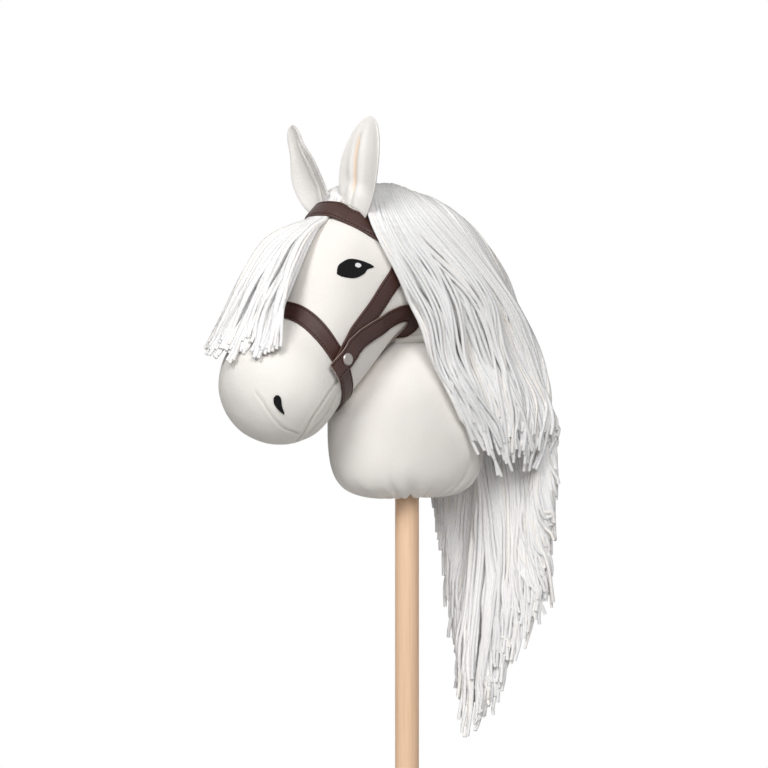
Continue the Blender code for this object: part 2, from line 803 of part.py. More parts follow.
def tilted_on(line, surface):
    """Moves a strap's points so that its upper edge stands away from the brow over the forelock's root."""
    def settle(point):
        nearest = min(line, key=lambda spot: (spot - point).length)
        rise = max((point - nearest).z, 0.0) / STRAP_WIDTH
        reach = eased(abs(point.y), 1.0, 0.0, *BROWBAND_TILT_FADE)
        _, normal = surface.seat(point, 0.0)
        return point + normal * BROWBAND_TILT * rise * reach

    return settle


def make_browband(surface, material, collection):
    half = [at(*point) for point in BROWBAND_PATH]
    path = half + [mirror_point(point) for point in reversed(half[:-1])]
    line = [surface.seat(point, 0.0)[0] for point in smooth_path(path, 90)]

    def height_at(point):
        over_hair = eased(abs(point.y), BROWBAND_OVER_HAIR, STRAP_SEAT, 0.017, 0.030)
        over_strap = eased(abs(point.y), STRAP_SEAT, BROWBAND_OVER_STRAP, 0.040, 0.046)
        return max(over_hair, over_strap)

    return make_strap("browband", path, 28, surface, height_at, material, collection,
                      settle=tilted_on(line, surface))


def rein_height(point, snap):
    distance = snap_distance(point, snap)
    if distance < 0.018:
        return eased(distance, REIN_AT_SNAP, REIN_OVER_STRAPS, 0.008, 0.018)
    if distance < 0.038:
        return eased(distance, REIN_OVER_STRAPS, BROWBAND_OVER_STRAP, 0.018, 0.034)
    return eased(distance, BROWBAND_OVER_STRAP, STRAP_SEAT, 0.056, 0.074)


def make_reins(surface, snap, holes, material, collection):
    """The rein round the jaw, and at each end the tab that carries the outer half of a snap fastener."""
    half = [at(*point) for point in REIN_PATH]
    whole = smooth_path(half + [mirror_point(point) for point in reversed(half[:-1])], 400)
    lengths = [0.0]
    for before, after in zip(whole, whole[1:]):
        lengths.append(lengths[-1] + (after - before).length)
    tab_length = REIN_TAB_PAST_SNAP + REIN_TAB_ABOVE_SNAP
    tab = [point for point, length in zip(whole, lengths) if length <= tab_length]
    middle = [point for point, length in zip(whole, lengths)
              if tab_length + SEAT_GAP * 2 <= length <= lengths[-1] - tab_length - SEAT_GAP * 2]

    def height_at(point):
        return rein_height(point, snap)

    rein = make_strap("rein_strap", middle, 44, surface, height_at, material, collection)
    near_tab = make_strap("near_rein_tab", tab, 8, surface, height_at, material, collection,
                          settle=flat_at_snap(snap, REIN_AT_SNAP))
    bored(near_tab, holes[:1])
    far_tab = mirrored(near_tab, "far_rein_tab", collection)
    return rein, near_tab, far_tab


def make_snaps(snap, material, collection):
    """Four turned pieces on each side: post and stud on the headstall, socket and cap on the rein's tab."""
    ring = SNAP_RING_DIAMETER / 2
    barrel = SNAP_BARREL_DIAMETER / 2
    nub = SNAP_NUB_DIAMETER / 2
    cap = SNAP_CAP_DIAMETER / 2
    cap_seat = REIN_AT_SNAP + STRAP_THICKNESS + SEAT_GAP
    nub_top = STUD_SEAT + SNAP_PLATE + SNAP_NUB_HEIGHT
    post_top = STUD_SEAT - SEAT_GAP
    plate_top = PLATE_SEAT + SNAP_PLATE
    stud_top = STUD_SEAT + SNAP_PLATE
    socket_top = SOCKET_SEAT + SOCKET_HEIGHT
    nub_side = nub_top - SNAP_NUB_HEIGHT * 0.4
    cap_foot = nub_top + 2 * SEAT_GAP
    cap_dome = [(radius * cap, cap_seat + height * SNAP_CAP_HEIGHT) for radius, height in SNAP_CAP_DOME]
    profiles = {
        "snap_post": [(0.0, post_top), (barrel, post_top), (barrel, plate_top), (ring, plate_top),
                      (ring, PLATE_SEAT), (0.0, PLATE_SEAT)],
        "snap_stud": [(0.0, nub_top), (nub * 0.86, nub_top), (nub, nub_side), (nub * 0.9, stud_top),
                      (ring, stud_top), (ring, STUD_SEAT), (0.0, STUD_SEAT)],
        "snap_cap": [*cap_dome, (barrel, cap_seat), (barrel, cap_foot), (0.0, cap_foot)],
    }
    for name, profile in profiles.items():
        near = turned("near_" + name, profile, 16, material, collection)
        near.data.transform(snap)
        mirrored(near, "far_" + name, collection)
    inner = nub + SEAT_GAP
    profile = [(inner, socket_top), (ring, socket_top), (ring, SOCKET_SEAT), (inner, SOCKET_SEAT),
               (inner, socket_top)]
    near = turned("near_snap_socket", profile, 16, material, collection)
    near.data.transform(snap)
    mirrored(near, "far_snap_socket", collection)


# Embroidery

def make_stitched_patch(name, place, outline, lift, surface, material, collection):
    """A satin-stitched pad on a skin, from an outline to the right of and above its place."""
    centre, normal = surface.seat(at(*place), 0.0)
    level = UP.cross(normal).normalized()
    upright = normal.cross(level)
    outline = [Vector((right * MM, up * MM, 0.0)) for right, up in outline]
    rim = smooth_path([*outline, outline[0]], PATCH_POINTS + 1)[:-1]
    heart = sum(rim, Vector()) / len(rim)
    points = []
    for share in (1.0, 0.6):
        points += [heart + (point - heart) * share for point in rim]
    points.append(heart)
    seated = []
    for point in points:
        on_skin, skin_normal = surface.seat(centre + level * point.x + upright * point.y, 0.0)
        seated.append(on_skin + skin_normal * lift)
    faces = []
    for index in range(PATCH_POINTS):
        after = (index + 1) % PATCH_POINTS
        faces.append((index, after, PATCH_POINTS + after, PATCH_POINTS + index))
        faces.append((PATCH_POINTS + index, PATCH_POINTS + after, 2 * PATCH_POINTS))
    item = add_object(name, mesh_from(name, seated, faces), material, collection)
    thicken(item, STITCH_PAD, surface)
    return item


def ellipse(centre, half_width, half_height, count=10):
    return [(centre[0] + half_width * math.cos(2 * math.pi * i / count),
             centre[1] + half_height * math.sin(2 * math.pi * i / count)) for i in range(count)]


# Yarn

def hank(name, inner, outer, material, collection):
    """A closed lock of yarn between two grids of points of the same size."""
    rows, columns = len(inner), len(inner[0])
    points = [point for row in inner for point in row] + [point for row in outer for point in row]
    shift = rows * columns
    faces = []
    for row in range(rows - 1):
        for column in range(columns - 1):
            a = row * columns + column
            faces.append((a, a + 1, a + columns + 1, a + columns))
            faces.append((a + shift, a + shift + columns, a + shift + columns + 1, a + shift + 1))
    rim = [column for column in range(columns)]
    rim += [row * columns + columns - 1 for row in range(1, rows)]
    rim += [(rows - 1) * columns + column for column in range(columns - 2, -1, -1)]
    rim += [row * columns for row in range(rows - 2, 0, -1)]
    for start, end in zip(rim, rim[1:] + rim[:1]):
        faces.append((start, end, end + shift, start + shift))
    item = add_object(name, mesh_from(name, points, faces), material, collection)
    face_outwards(item.data)
    return item


def yarn_point(guides, along, down):
    """A point at a share of the way down the yarn that is a share of the way through a row of guides."""
    return spline([spline(guide, down) for guide in guides], along)


def yarn_thickness(down, across, sizes):
    """How thick a lock is down its yarn and across its width, with two shallow grooves."""
    root, full, tip, swell_start, swell_end = sizes
    if down < swell_end:
        body = eased(down, root, full, swell_start, swell_end)
    else:
        body = eased(down, full, tip, swell_end, 1.0)
    crown = math.sqrt(max(1.0 - abs(2 * across - 1) ** 3, 0.0))
    groove = 1.0 - 0.13 * (0.5 + 0.5 * math.cos(4 * math.pi * across))
    return body * (0.4 + 0.6 * crown) * groove


def make_hank_row(names, faces_at, shape, material, collection):
    """Neighbouring locks of yarn on one sheet, with a gap between them that widens to their tips."""
    rows, columns, root_gap, tip_gap, raggedness = shape
    for number, name in enumerate(names):
        inner, outer = [], []
        for row in range(rows):
            down = (row / (rows - 1)) ** ROOT_CROWDING
            gap = root_gap + (tip_gap - root_gap) * down
            seats = []
            for column in range(columns):
                across = column / (columns - 1)
                along = (number + across) / len(names) + gap * (0.5 - across)
                reach = down * (1.0 - raggedness * abs(2 * across - 1) ** 1.5)
                seats.append(faces_at(along, reach, across))
            inner.append([seat[0] for seat in seats])
            outer.append([seat[1] for seat in seats])
        hank(name, inner, outer, material, collection)


def make_mane_side(side_name, side, guides, body, crest, material, collection):
    """The locks of one side of the mane, which hang from the tape along the crest.

    The side is -1 for the near one. Locks face out of the crest where they are sewn on. Below it they
    face the side at the front of the mane and backwards at its back.
    """
    lift = ROOT_SEAT + HANK_ROOT_THICKNESS
    seats = [body.seat(spline(crest, index / (len(guides) - 1)), lift) for index in range(len(guides))]
    guides = [smooth_path([seat[0], *(at(*point) for point in guide)], 40)
              for seat, guide in zip(seats, guides)]
    crest_normals = [seat[1] for seat in seats]
    sizes = (HANK_ROOT_THICKNESS, HANK_THICKNESS, HANK_TIP_THICKNESS, 0.0, 0.3)

    def keep(point):
        point.y = side * max(side * point.y, HANK_GAP / 2)
        return point

    def faces_at(along, down, across):
        outer = yarn_point(guides, along, down)
        turn = math.pi / 2 * along
        hanging = Vector((math.sin(turn), side * math.cos(turn), 0.0))
        outward = spline(crest_normals, along).lerp(hanging, smooth_step(down / 0.3)).normalized()
        clearance = eased(down, ROOT_SEAT, MANE_OVER_STRAPS, 0.0, 0.05)
        inner = body.lift(outer - outward * yarn_thickness(down, across, sizes), clearance)
        spare = (outer - inner).dot(outward)
        if spare < HANK_LEAST_THICKNESS:
            outer = outer + outward * (HANK_LEAST_THICKNESS - spare)
        return keep(inner), keep(outer)

    names = [f"{side_name}_mane_{number + 1}" for number in range(MANE_HANKS)]
    make_hank_row(names, faces_at, (11, 7, 0.006, 0.04, 0.05), material, collection)


def make_forelock(head, material, collection):
    """Locks that start between the ears, pass under the browband and fall over the nose."""
    guides = [smooth_path([at(*point) for point in guide], 40) for guide in FORELOCK_GUIDES]
    sizes = (FORELOCK_ROOT_THICKNESS, FORELOCK_THICKNESS, HANK_TIP_THICKNESS, FORELOCK_LOOSE_FROM, 0.54)

    def faces_at(along, down, across):
        point = yarn_point(guides, along, down)
        seated, outward = head.seat(point, eased(down, ROOT_SEAT, HAIR_SEAT, 0.05, 0.12))
        free = head.lift(point, eased(down, HAIR_SEAT, HAIR_OVER_NOSEBAND, 0.24, 0.36))
        inner = seated.lerp(free, smooth_step((down - FORELOCK_LOOSE_FROM + 0.02) / 0.12))
        return inner, inner + outward * yarn_thickness(down, across, sizes)

    names = [f"forelock_{number + 1}" for number in range(FORELOCK_HANKS)]
    make_hank_row(names, faces_at, (11, 7, 0.05, 0.07, 0.05), material, collection)


def main():
    reset_scene()
    parts = new_collection(PART_NAME)
    cutters = new_collection(PART_NAME + "_cutters")

    wood = new_material("pine", (0.79, 0.58, 0.36), 0.55)
    jersey = new_material("cream_jersey", (0.88, 0.85, 0.80), 0.95)
    wadding = new_material("white_wadding", (0.93, 0.93, 0.93), 1.0)
    webbing = new_material("cotton", (0.85, 0.83, 0.78), 0.95)
    lining = new_material("peach_lining", (0.86, 0.76, 0.67), 0.95)
    leather = new_material("brown_leather", (0.045, 0.022, 0.018), 0.42)
    nickel = new_material("satin_nickel", (0.62, 0.58, 0.54), 0.3, 1.0)
    black = new_material("black_thread", (0.008, 0.008, 0.009), 0.6)
    white = new_material("white_thread", (0.9, 0.9, 0.9), 0.6)
    yarn = new_material("white_yarn", (0.86, 0.87, 0.88), 0.95)

    stick = make_stick(wood, parts)
    sleeve = make_sleeve(webbing, parts)
    cord = make_gather_cord(webbing, parts)
    room = make_sleeve_cutter(cutters)

    rings, pole = head_cage()
    head_cover, head_skin = soft_skin("head_cover", rings, pole, jersey, parts)
    neck_cover, neck_skin = soft_skin("neck_cover", neck_cage(end_gap=SEAT_GAP), None, jersey, parts)
    rings, pole = head_cage(FILLING_INSET, rim_lift=SEAT_GAP / 2)
    stuffing("head_filling", rings, pole, room, wadding, parts)
    rings = neck_cage(FILLING_INSET, end_gap=SEAT_GAP)
    stuffing("neck_filling", rings, None, room, wadding, parts)

    body = Body([head_skin, neck_skin])
    frame = ear_frame(head_skin)
    for name, side, material in (("ear_back", 1, jersey), ("ear_lining", -1, lining)):
        near = make_ear_panel("near_" + name, side, frame, head_skin, material, parts)
        mirrored(near, "far_" + name, parts)

    snap = snap_place(head_skin)
    holes = make_hole_cutters(snap, cutters)
    make_noseband(head_skin, snap, holes, leather, parts)
    make_headstall(head_skin, snap, holes, leather, parts)
    make_browband(head_skin, leather, parts)
    make_reins(head_skin, snap, holes, leather, parts)
    make_snaps(snap, nickel, parts)

    for name, place, outline, lift, material in (
            ("eye", EYE_PLACE, EYE_OUTLINE, SEAT_GAP, black),
            ("eye_glint", EYE_PLACE, ellipse(GLINT_CENTRE, 3.2, 2.2), STITCH_PAD + 2 * SEAT_GAP, white),
            ("nostril", NOSTRIL_PLACE, NOSTRIL_OUTLINE, SEAT_GAP, black)):
        near = make_stitched_patch("near_" + name, place, outline, lift, head_skin, material, parts)
        mirrored(near, "far_" + name, parts)

    crest = [at(*point) for point in CREST_PATH]
    make_strap("mane_tape", crest, 56, body, lambda point: STRAP_SEAT, webbing, parts, width=TAPE_WIDTH,
               thickness=TAPE_THICKNESS)
    poll = [at(*point) for point in POLL_TAPE_PATH]
    make_strap("poll_tape", poll, 6, head_skin, lambda point: STRAP_SEAT, webbing, parts, width=TAPE_WIDTH,
               thickness=TAPE_THICKNESS)
    crest = smooth_path(crest, 60)
    make_mane_side("near", -1, NEAR_MANE_GUIDES, body, crest, yarn, parts)
    make_mane_side("far", 1, FAR_MANE_GUIDES, body, crest, yarn, parts)
    make_forelock(head_skin, yarn, parts)


main()
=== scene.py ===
# %% [markdown]
# # A hobby horse, dressed over its frame
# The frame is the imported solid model. It gives every body, joint and node in metres, with +Z up, the foot
# of the stick at the origin, the horse looking along -X and its near (left) side at -Y. Everything below
# is built in that same space, so nothing has to be fitted by eye.

import math
import random
from types import SimpleNamespace

import bmesh
import bpy
import numpy as np
from mathutils import Matrix, Vector, noise
from mathutils.bvhtree import BVHTree


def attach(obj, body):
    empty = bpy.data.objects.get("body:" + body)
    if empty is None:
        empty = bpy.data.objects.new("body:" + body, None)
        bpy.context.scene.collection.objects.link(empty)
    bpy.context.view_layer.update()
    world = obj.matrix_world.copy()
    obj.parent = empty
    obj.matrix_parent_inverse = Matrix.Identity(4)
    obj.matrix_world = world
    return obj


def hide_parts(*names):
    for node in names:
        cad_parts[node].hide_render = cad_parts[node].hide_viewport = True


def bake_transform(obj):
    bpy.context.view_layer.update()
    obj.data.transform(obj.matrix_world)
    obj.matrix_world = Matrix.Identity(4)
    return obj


noise.seed_set(11)  # without a seed the noise vectors would start from the clock
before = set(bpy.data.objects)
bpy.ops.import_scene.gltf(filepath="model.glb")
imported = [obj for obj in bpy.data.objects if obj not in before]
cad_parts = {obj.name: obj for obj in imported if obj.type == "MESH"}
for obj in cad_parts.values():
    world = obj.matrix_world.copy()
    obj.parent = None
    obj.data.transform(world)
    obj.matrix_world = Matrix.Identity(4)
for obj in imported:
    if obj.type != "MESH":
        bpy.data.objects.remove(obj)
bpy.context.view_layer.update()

# %% [markdown]
# ## Measures
# The real toy was measured once, in the solid model. The same sizes are written again here, because the
# scene may read nothing but the frame. Outlines are in millimetres: behind the stick's axis, above the
# seam between the head and the neck (the throat seam), and towards the far side.

# %% Sizes of the toy
MM = 0.001
UP = Vector((0.0, 0.0, 1.0))
THROAT_Z = 0.774
NECK_BASE_Z, NECK_HEIGHT, NECK_LENGTH, NECK_WIDTH = 0.619, 0.155, 0.1735, 0.113
MOUTH_FRONT, MOUTH_BACK, MOUTH_HALF_WIDTH = -0.028, 0.088, 0.038
BASE_HOLE, BASE_DIMPLE, JAW_CLEARANCE = 0.0315, 0.0012, 0.0035
HEAD_HALF_WIDTH, MUZZLE_RADIUS = 0.053, 0.061
MUZZLE_PLACE, MUZZLE_DROP = (-0.157, -0.040), math.radians(34.3)
MUZZLE_ANGLES = (118, 95, 72, 50, 28)
RING_POINTS = 12
CAGE_SWELL = 6.0 / (4.0 + 2.0 * math.cos(2.0 * math.pi / RING_POINTS))
SKIN_LEVELS, SMOOTH_LEVELS, SKIN_GAP = 4, 3, 0.0003

STRAP_WIDTH, STRAP_THICKNESS, STRAP_SEAT = 0.0185, 0.0016, 0.0008
NOSEBAND_AT_SNAP, HEADSTALL_AT_SNAP, REIN_AT_SNAP = 0.0013, 0.0045, 0.0088
REIN_OVER_STRAPS = 0.0064
OVER_STRAP = STRAP_SEAT + STRAP_THICKNESS + 0.0005
BROWBAND_OVER_HAIR = 0.0048
FLAT_RADIUS = 0.0135

HEAD_ROWS = (
    (-28, 3, 88, 27, 0.80), (-28, 5, 81, 69, 0.87), (-29, 6, 63, 104, 0.93), (-30, 6, 36, 129, 0.97),
    (-32, 4, 2, 142, 0.99), (-36, 0, -35, 146, 1.00), (-44, -9, -70, 142, 1.00), (-56, -23, -98, 132, 0.99),
    (-68, -37, -121, 111, 0.98), (-79, -48, -136, 86, 0.98), (-88, -56, -147, 58, 0.96),
    (-96, -63, -156, 29, 0.93),
)
NECK_ROWS = (
    (0.95, 1.00, 0.78), (0.86, 1.00, 0.87), (0.74, 1.01, 0.94), (0.60, 1.01, 0.99), (0.44, 1.00, 1.01),
    (0.28, 0.99, 1.00), (0.145, 0.94, 0.93), (0.055, 0.81, 0.77), (0.012, 0.58, 0.56), (0.000, 0.36, 0.42),
)

# %% [markdown]
# ## Curves and other small helpers
# Straps, seams and yarn all follow smooth curves through a few points, so one spline and one function that
# spaces points evenly along it serve for all of them.

# %% Curve helpers
def at(x, height, y=0.0):
    return Vector((x * MM, y * MM, THROAT_Z + height * MM))


def on_middle(x, z):
    return Vector((x, 0.0, z))


def mirror_point(point):
    return Vector((point.x, -point.y, point.z))


def spline(points, share):
    ends = [2 * points[0] - points[1], *points, 2 * points[-1] - points[-2]]
    position = min(max(share, 0.0), 1.0) * (len(points) - 1)
    index = min(int(position), len(points) - 2)
    t = position - index
    before, start, end, after = ends[index:index + 4]
    return 0.5 * (2 * start + (end - before) * t + (2 * before - 5 * start + 4 * end - after) * t ** 2
                  + (3 * start - before - 3 * end + after) * t ** 3)


def smooth_path(points, count):
    steps = 12 * (len(points) - 1)
    fine = [spline(points, step / steps) for step in range(steps + 1)]
    lengths = np.cumsum([0.0] + [(b - a).length for a, b in zip(fine, fine[1:])])
    wanted = np.linspace(0.0, lengths[-1], count)
    columns = [np.interp(wanted, lengths, [point[axis] for point in fine]) for axis in range(3)]
    return [Vector(point) for point in zip(*columns)]


def traced(places, count, start=()):
    """A smooth line through measured places, after its start where that is already in the scene's space."""
    return smooth_path([*start, *(at(*place) for place in places)], count)


def smooth_step(value):
    value = min(max(value, 0.0), 1.0)
    return value * value * (3 - 2 * value)


def eased(distance, near_value, far_value, start, end):
    return near_value + (far_value - near_value) * smooth_step((distance - start) / (end - start))


def wander(x, y, z):
    """A smooth random height between about -1 and 1."""
    return noise.noise(Vector((x, y, z)))


def wander_freely(x, y, z):
    """A smooth random step in space."""
    return noise.noise_vector(Vector((x, y, z)))


# %% Mesh helpers
def new_object(name, mesh):
    item = bpy.data.objects.new(name, mesh)
    bpy.context.scene.collection.objects.link(item)
    return item


def mesh_from(name, points, faces, edges=()):
    mesh = bpy.data.meshes.new(name)
    mesh.from_pydata([tuple(point) for point in points], list(edges), faces)
    mesh.update()
    return mesh


def bake(item):
    """What the modifiers show, as a plain mesh; the object itself goes."""
    bpy.context.view_layer.update()
    shown = item.evaluated_get(bpy.context.evaluated_depsgraph_get())
    mesh = bpy.data.meshes.new_from_object(shown)
    name = item.name
    bpy.data.objects.remove(item, do_unlink=True)
    mesh.name = name
    return mesh


def band(start, after, count, closed=False):
    """Faces between two rows of points that are numbered from start and from after."""
    turns = [(index, (index + 1) % count) for index in range(count if closed else count - 1)]
    return [(start + i, start + j, after + j, after + i) for i, j in turns]


def face_outwards(mesh, weld=True):
    form = bmesh.new()
    form.from_mesh(mesh)
    if weld:
        bmesh.ops.remove_doubles(form, verts=form.verts, dist=1e-6)
    bmesh.ops.recalc_face_normals(form, faces=form.faces)
    form.to_mesh(mesh)
    form.free()


def points_and_normals(mesh):
    points, normals = np.empty((2, len(mesh.vertices) * 3))
    mesh.vertices.foreach_get("co", points)
    mesh.vertex_normals.foreach_get("vector", normals)
    return points.reshape(-1, 3), normals.reshape(-1, 3)


def move_to(mesh, points):
    mesh.vertices.foreach_set("co", points.ravel())
    mesh.update()


def add_attribute(mesh, name, values):
    layer = mesh.attributes.new(name, "FLOAT", "POINT")
    layer.data.foreach_set("value", np.asarray(values, dtype=np.float32))


# %% Finished pieces
def finished(name, mesh, body, material, slot, replaced=(), angle=50):
    """A piece in its material, in place of some nodes, and on its body when one is given."""
    item = new_object(name, mesh)
    if material is not None:
        mesh.materials.clear()
        mesh.materials.append(material)
    mesh.shade_smooth()
    mesh.set_sharp_from_angle(angle=math.radians(angle))
    if body is not None:
        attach(item, body)
    if replaced:
        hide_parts(*replaced)
    return item


def far_twin(near_mesh, name):
    mesh = near_mesh.copy()
    mesh.name = name
    mesh.transform(Matrix.Diagonal((1.0, -1.0, 1.0, 1.0)))
    mesh.flip_normals()
    return mesh


def turned(name, profile, steps):
    """A solid of revolution from a profile of radius and height."""
    points = [(radius, 0.0, height) for radius, height in profile]
    host = new_object(name, mesh_from(name, points, [], [(i, i + 1) for i in range(len(points) - 1)]))
    modifier = host.modifiers.new("turn", "SCREW")
    modifier.steps = modifier.render_steps = steps
    modifier.use_merge_vertices = True
    modifier.merge_threshold = 0.00001
    mesh = bake(host)
    face_outwards(mesh)
    return mesh


# %% [markdown]
# ## Finishes
# Each finish is a small node tree. One function adds any node from its type, settings and inputs, and two
# classes keep the trees readable: Value lets shader numbers be added and multiplied like Python numbers,
# and Finish holds a material and its usual nodes.

# %% Node helpers
def feed(tree, socket, thing):
    """Link a socket to a Value, a node or another socket, or set a constant on it."""
    if isinstance(thing, Value):
        thing = thing.socket
    if isinstance(thing, bpy.types.Node):
        thing = thing.outputs[0]
    if isinstance(thing, bpy.types.NodeSocket):
        tree.links.new(thing, socket)
    else:
        socket.default_value = thing


def add_node(tree, kind, settings=None, inputs=None):
    node = tree.nodes.new(kind)
    for label, value in (settings or {}).items():
        setattr(node, label, value)
    for label, value in (inputs or {}).items():
        feed(tree, node.inputs[label], value)
    return node


# %% Numbers in a material
class Value:
    """A number in a material that can be used in Python arithmetic."""

    def __init__(self, finish, socket):
        self.finish, self.socket = finish, socket

    def maths(self, operation, *others):
        node = self.finish.node("ShaderNodeMath", {"operation": operation}, dict(enumerate((self, *others))))
        return Value(self.finish, node.outputs[0])

    def __add__(self, other):
        return self.maths("ADD", other)

    def __sub__(self, other):
        return self.maths("SUBTRACT", other)

    def __rsub__(self, other):
        return (self * -1.0) + other

    def __mul__(self, other):
        return self.maths("MULTIPLY", other)

    __radd__ = __add__
    __rmul__ = __mul__

    def sine(self):
        return self.maths("SINE")

    def power(self, exponent):
        return self.maths("POWER", exponent)


# %% A material
class Finish:
    """A material around one Principled shader."""

    def __init__(self, name, colour, roughness, **fixed):
        self.material = bpy.data.materials.new(name)
        self.material.use_nodes = True
        self.tree = self.material.node_tree
        self.shader = self.tree.nodes["Principled BSDF"]
        self.set("Base Color", (*colour, 1.0))
        self.set("Roughness", roughness)
        for label, value in fixed.items():
            self.set(label.replace("_", " "), value)
        self.material.diffuse_color = (*colour, 1.0)
        self.place = self.node("ShaderNodeTexCoord").outputs["Object"]

    def set(self, label, thing):
        feed(self.tree, self.shader.inputs[label], thing)

    def node(self, kind, settings=None, inputs=None):
        return add_node(self.tree, kind, settings, inputs)

    def noise(self, scale, detail=2.0, upright=1.0, rough=0.5):
        """Noise in the piece's own space; a small upright value draws it out along Z."""
        place = self.place
        if upright != 1.0:
            place = self.node("ShaderNodeMapping", None, {"Vector": place, "Scale": (1.0, 1.0, upright)})
        inputs = {"Vector": place, "Scale": scale, "Detail": detail, "Roughness": rough}
        return Value(self, self.node("ShaderNodeTexNoise", None, inputs).outputs[0])

    def attribute(self, name):
        return Value(self, self.node("ShaderNodeAttribute", {"attribute_name": name}).outputs["Fac"])

    def tint(self, factor, first, second):
        first, second = ((*side, 1.0) if isinstance(side, tuple) else side for side in (first, second))
        return self.node("ShaderNodeMix", {"data_type": "RGBA"}, {0: factor, 6: first, 7: second}).outputs[2]

    def bump(self, height, distance, strength):
        inputs = {"Strength": strength, "Distance": distance, "Height": height}
        self.set("Normal", self.node("ShaderNodeBump", None, inputs))


# %% [markdown]
# ### Brushed jersey
# The covers are a cream knit with a very short brushed pile: matt, with a soft sheen at grazing angles,
# faint cloudy mottling and a fine tooth that only shows close up.

# %% Jersey and ear lining
def brushed_jersey(name, colour, shade):
    finish = Finish(name, colour, 0.92, Sheen_Weight=0.25, Sheen_Roughness=0.5, Specular_IOR_Level=0.2)
    cloud = finish.noise(22.0, 4.0)
    nap = finish.noise(420.0, 3.0, rough=0.7)
    cloth = finish.tint(cloud * 0.7 + nap * 0.3, shade, colour)
    finish.set("Base Color", cloth)
    ribs = finish.noise(900.0, 1.0, upright=0.45)
    finish.bump(nap * 0.65 + ribs * 0.35, 0.0010, 0.6)
    return finish, cloth


def ear_lining():
    # The lining itself is pale cream; its crease is tinted peach, which is painted warm shade at the bottom
    # of the fold.
    finish, cloth = brushed_jersey("peach_lining", (0.96, 0.94, 0.91), (0.92, 0.885, 0.85))
    crease_shade = finish.attribute("crease").power(1.5) * 0.9
    finish.set("Base Color", finish.tint(crease_shade, cloth, (0.96, 0.75, 0.56)))
    return finish.material


jersey = brushed_jersey("cream_jersey", (0.905, 0.878, 0.845), (0.83, 0.79, 0.745))[0].material
lining = ear_lining()
print("jersey and lining ready")


# %% [markdown]
# ### Smooth brown strap material
# The straps are coated cloth: a dark brown skin with a fine pebble grain and a soft shine, over a pale
# woven core that shows only where the edges were cut. The attribute "across" runs from 0 in the middle of
# the strap to 1 at its edges, so the wear can follow it.

# %% Strap finishes
def strap_skin():
    finish = Finish("brown_leather", (0.036, 0.012, 0.009), 0.45, Specular_IOR_Level=0.4)
    pebble = finish.node("ShaderNodeTexVoronoi", {"feature": "F1"}, {"Vector": finish.place, "Scale": 1300.0})
    grain = Value(finish, pebble.outputs["Distance"])
    patch = finish.noise(60.0, 3.0)
    across = finish.attribute("across")
    worn = across.power(10.0) * 0.55 + patch * 0.35
    creases = finish.noise(420.0, 3.0, rough=0.65)
    finish.set("Base Color", finish.tint(worn, (0.034, 0.010, 0.007), (0.088, 0.034, 0.024)))
    finish.set("Roughness", patch * 0.25 + 0.32)
    finish.bump(grain * 0.45 + creases * 0.55, 0.0006, 0.8)
    return finish.material


def strap_core(name, dark, pale):
    finish = Finish(name, pale, 0.85)
    fibre = finish.noise(1500.0, 2.0)
    finish.set("Base Color", finish.tint(fibre, dark, pale))
    finish.bump(fibre, 0.0002, 0.6)
    return finish.material


leather = strap_skin()
cut_edge = strap_core("strap_cut_edge", (0.16, 0.12, 0.10), (0.62, 0.55, 0.49))
sealed_edge = strap_core("strap_sealed_edge", (0.020, 0.009, 0.007), (0.055, 0.028, 0.021))


# %% [markdown]
# ### Metal, wood, thread and yarn
# Satin nickel needs fine scratches in its roughness. Softwood needs long narrow grain, so its noise is
# drawn out along the stick. The yarn carries "around" and "along" from the tube that it is made of, and a
# sine of both draws its twist, in the bump and as painted shade in the colour.

# %% Nickel and pine
def satin_nickel():
    finish = Finish("satin_nickel", (0.33, 0.305, 0.285), 0.34, Metallic=1.0)
    scratch = finish.noise(2500.0, 2.0, upright=0.08)
    finish.set("Roughness", scratch * 0.22 + 0.20)
    finish.bump(scratch, 0.00005, 0.3)
    return finish.material


def pine_wood():
    finish = Finish("pine", (0.79, 0.58, 0.36), 0.55)
    bands = finish.noise(95.0, 3.0, upright=0.035)
    pores = finish.noise(900.0, 2.0, upright=0.02)
    figure = finish.noise(9.0, 2.0, upright=0.3)
    base = finish.tint(bands.power(1.6) * 1.5, (0.79, 0.53, 0.345), (0.87, 0.61, 0.42))
    finish.set("Base Color", finish.tint(pores.power(4.0) * 1.6 + figure * 0.10, base, (0.60, 0.37, 0.20)))
    finish.set("Roughness", pores * 0.25 + 0.42)
    finish.bump(pores * 0.7 + bands * 0.3, 0.0002, 0.5)
    return finish.material


# %% Cotton, threads and yarn
def woven_cotton():
    finish = Finish("cotton", (0.85, 0.83, 0.78), 0.9)
    inputs = {"Vector": finish.place, "Scale": 260.0}
    warp, weft = (finish.node("ShaderNodeTexWave", {"wave_type": "BANDS", "bands_direction": way}, inputs)
                  for way in "XZ")
    weave = Value(finish, warp.outputs["Fac"]) * Value(finish, weft.outputs["Fac"])
    finish.set("Base Color", finish.tint(weave, (0.74, 0.71, 0.66), (0.87, 0.85, 0.81)))
    finish.bump(weave, 0.0004, 0.8)
    return finish.material


def embroidery_thread(name, dark, light):
    finish = Finish(name, light, 0.75, Specular_IOR_Level=0.18)
    twist = (finish.attribute("along") * 9000.0 + finish.attribute("around") * 2.0 * math.pi).sine()
    finish.set("Base Color", finish.tint(finish.attribute("tone"), dark, light))
    finish.bump(twist, 0.00008, 0.5)
    return finish.material


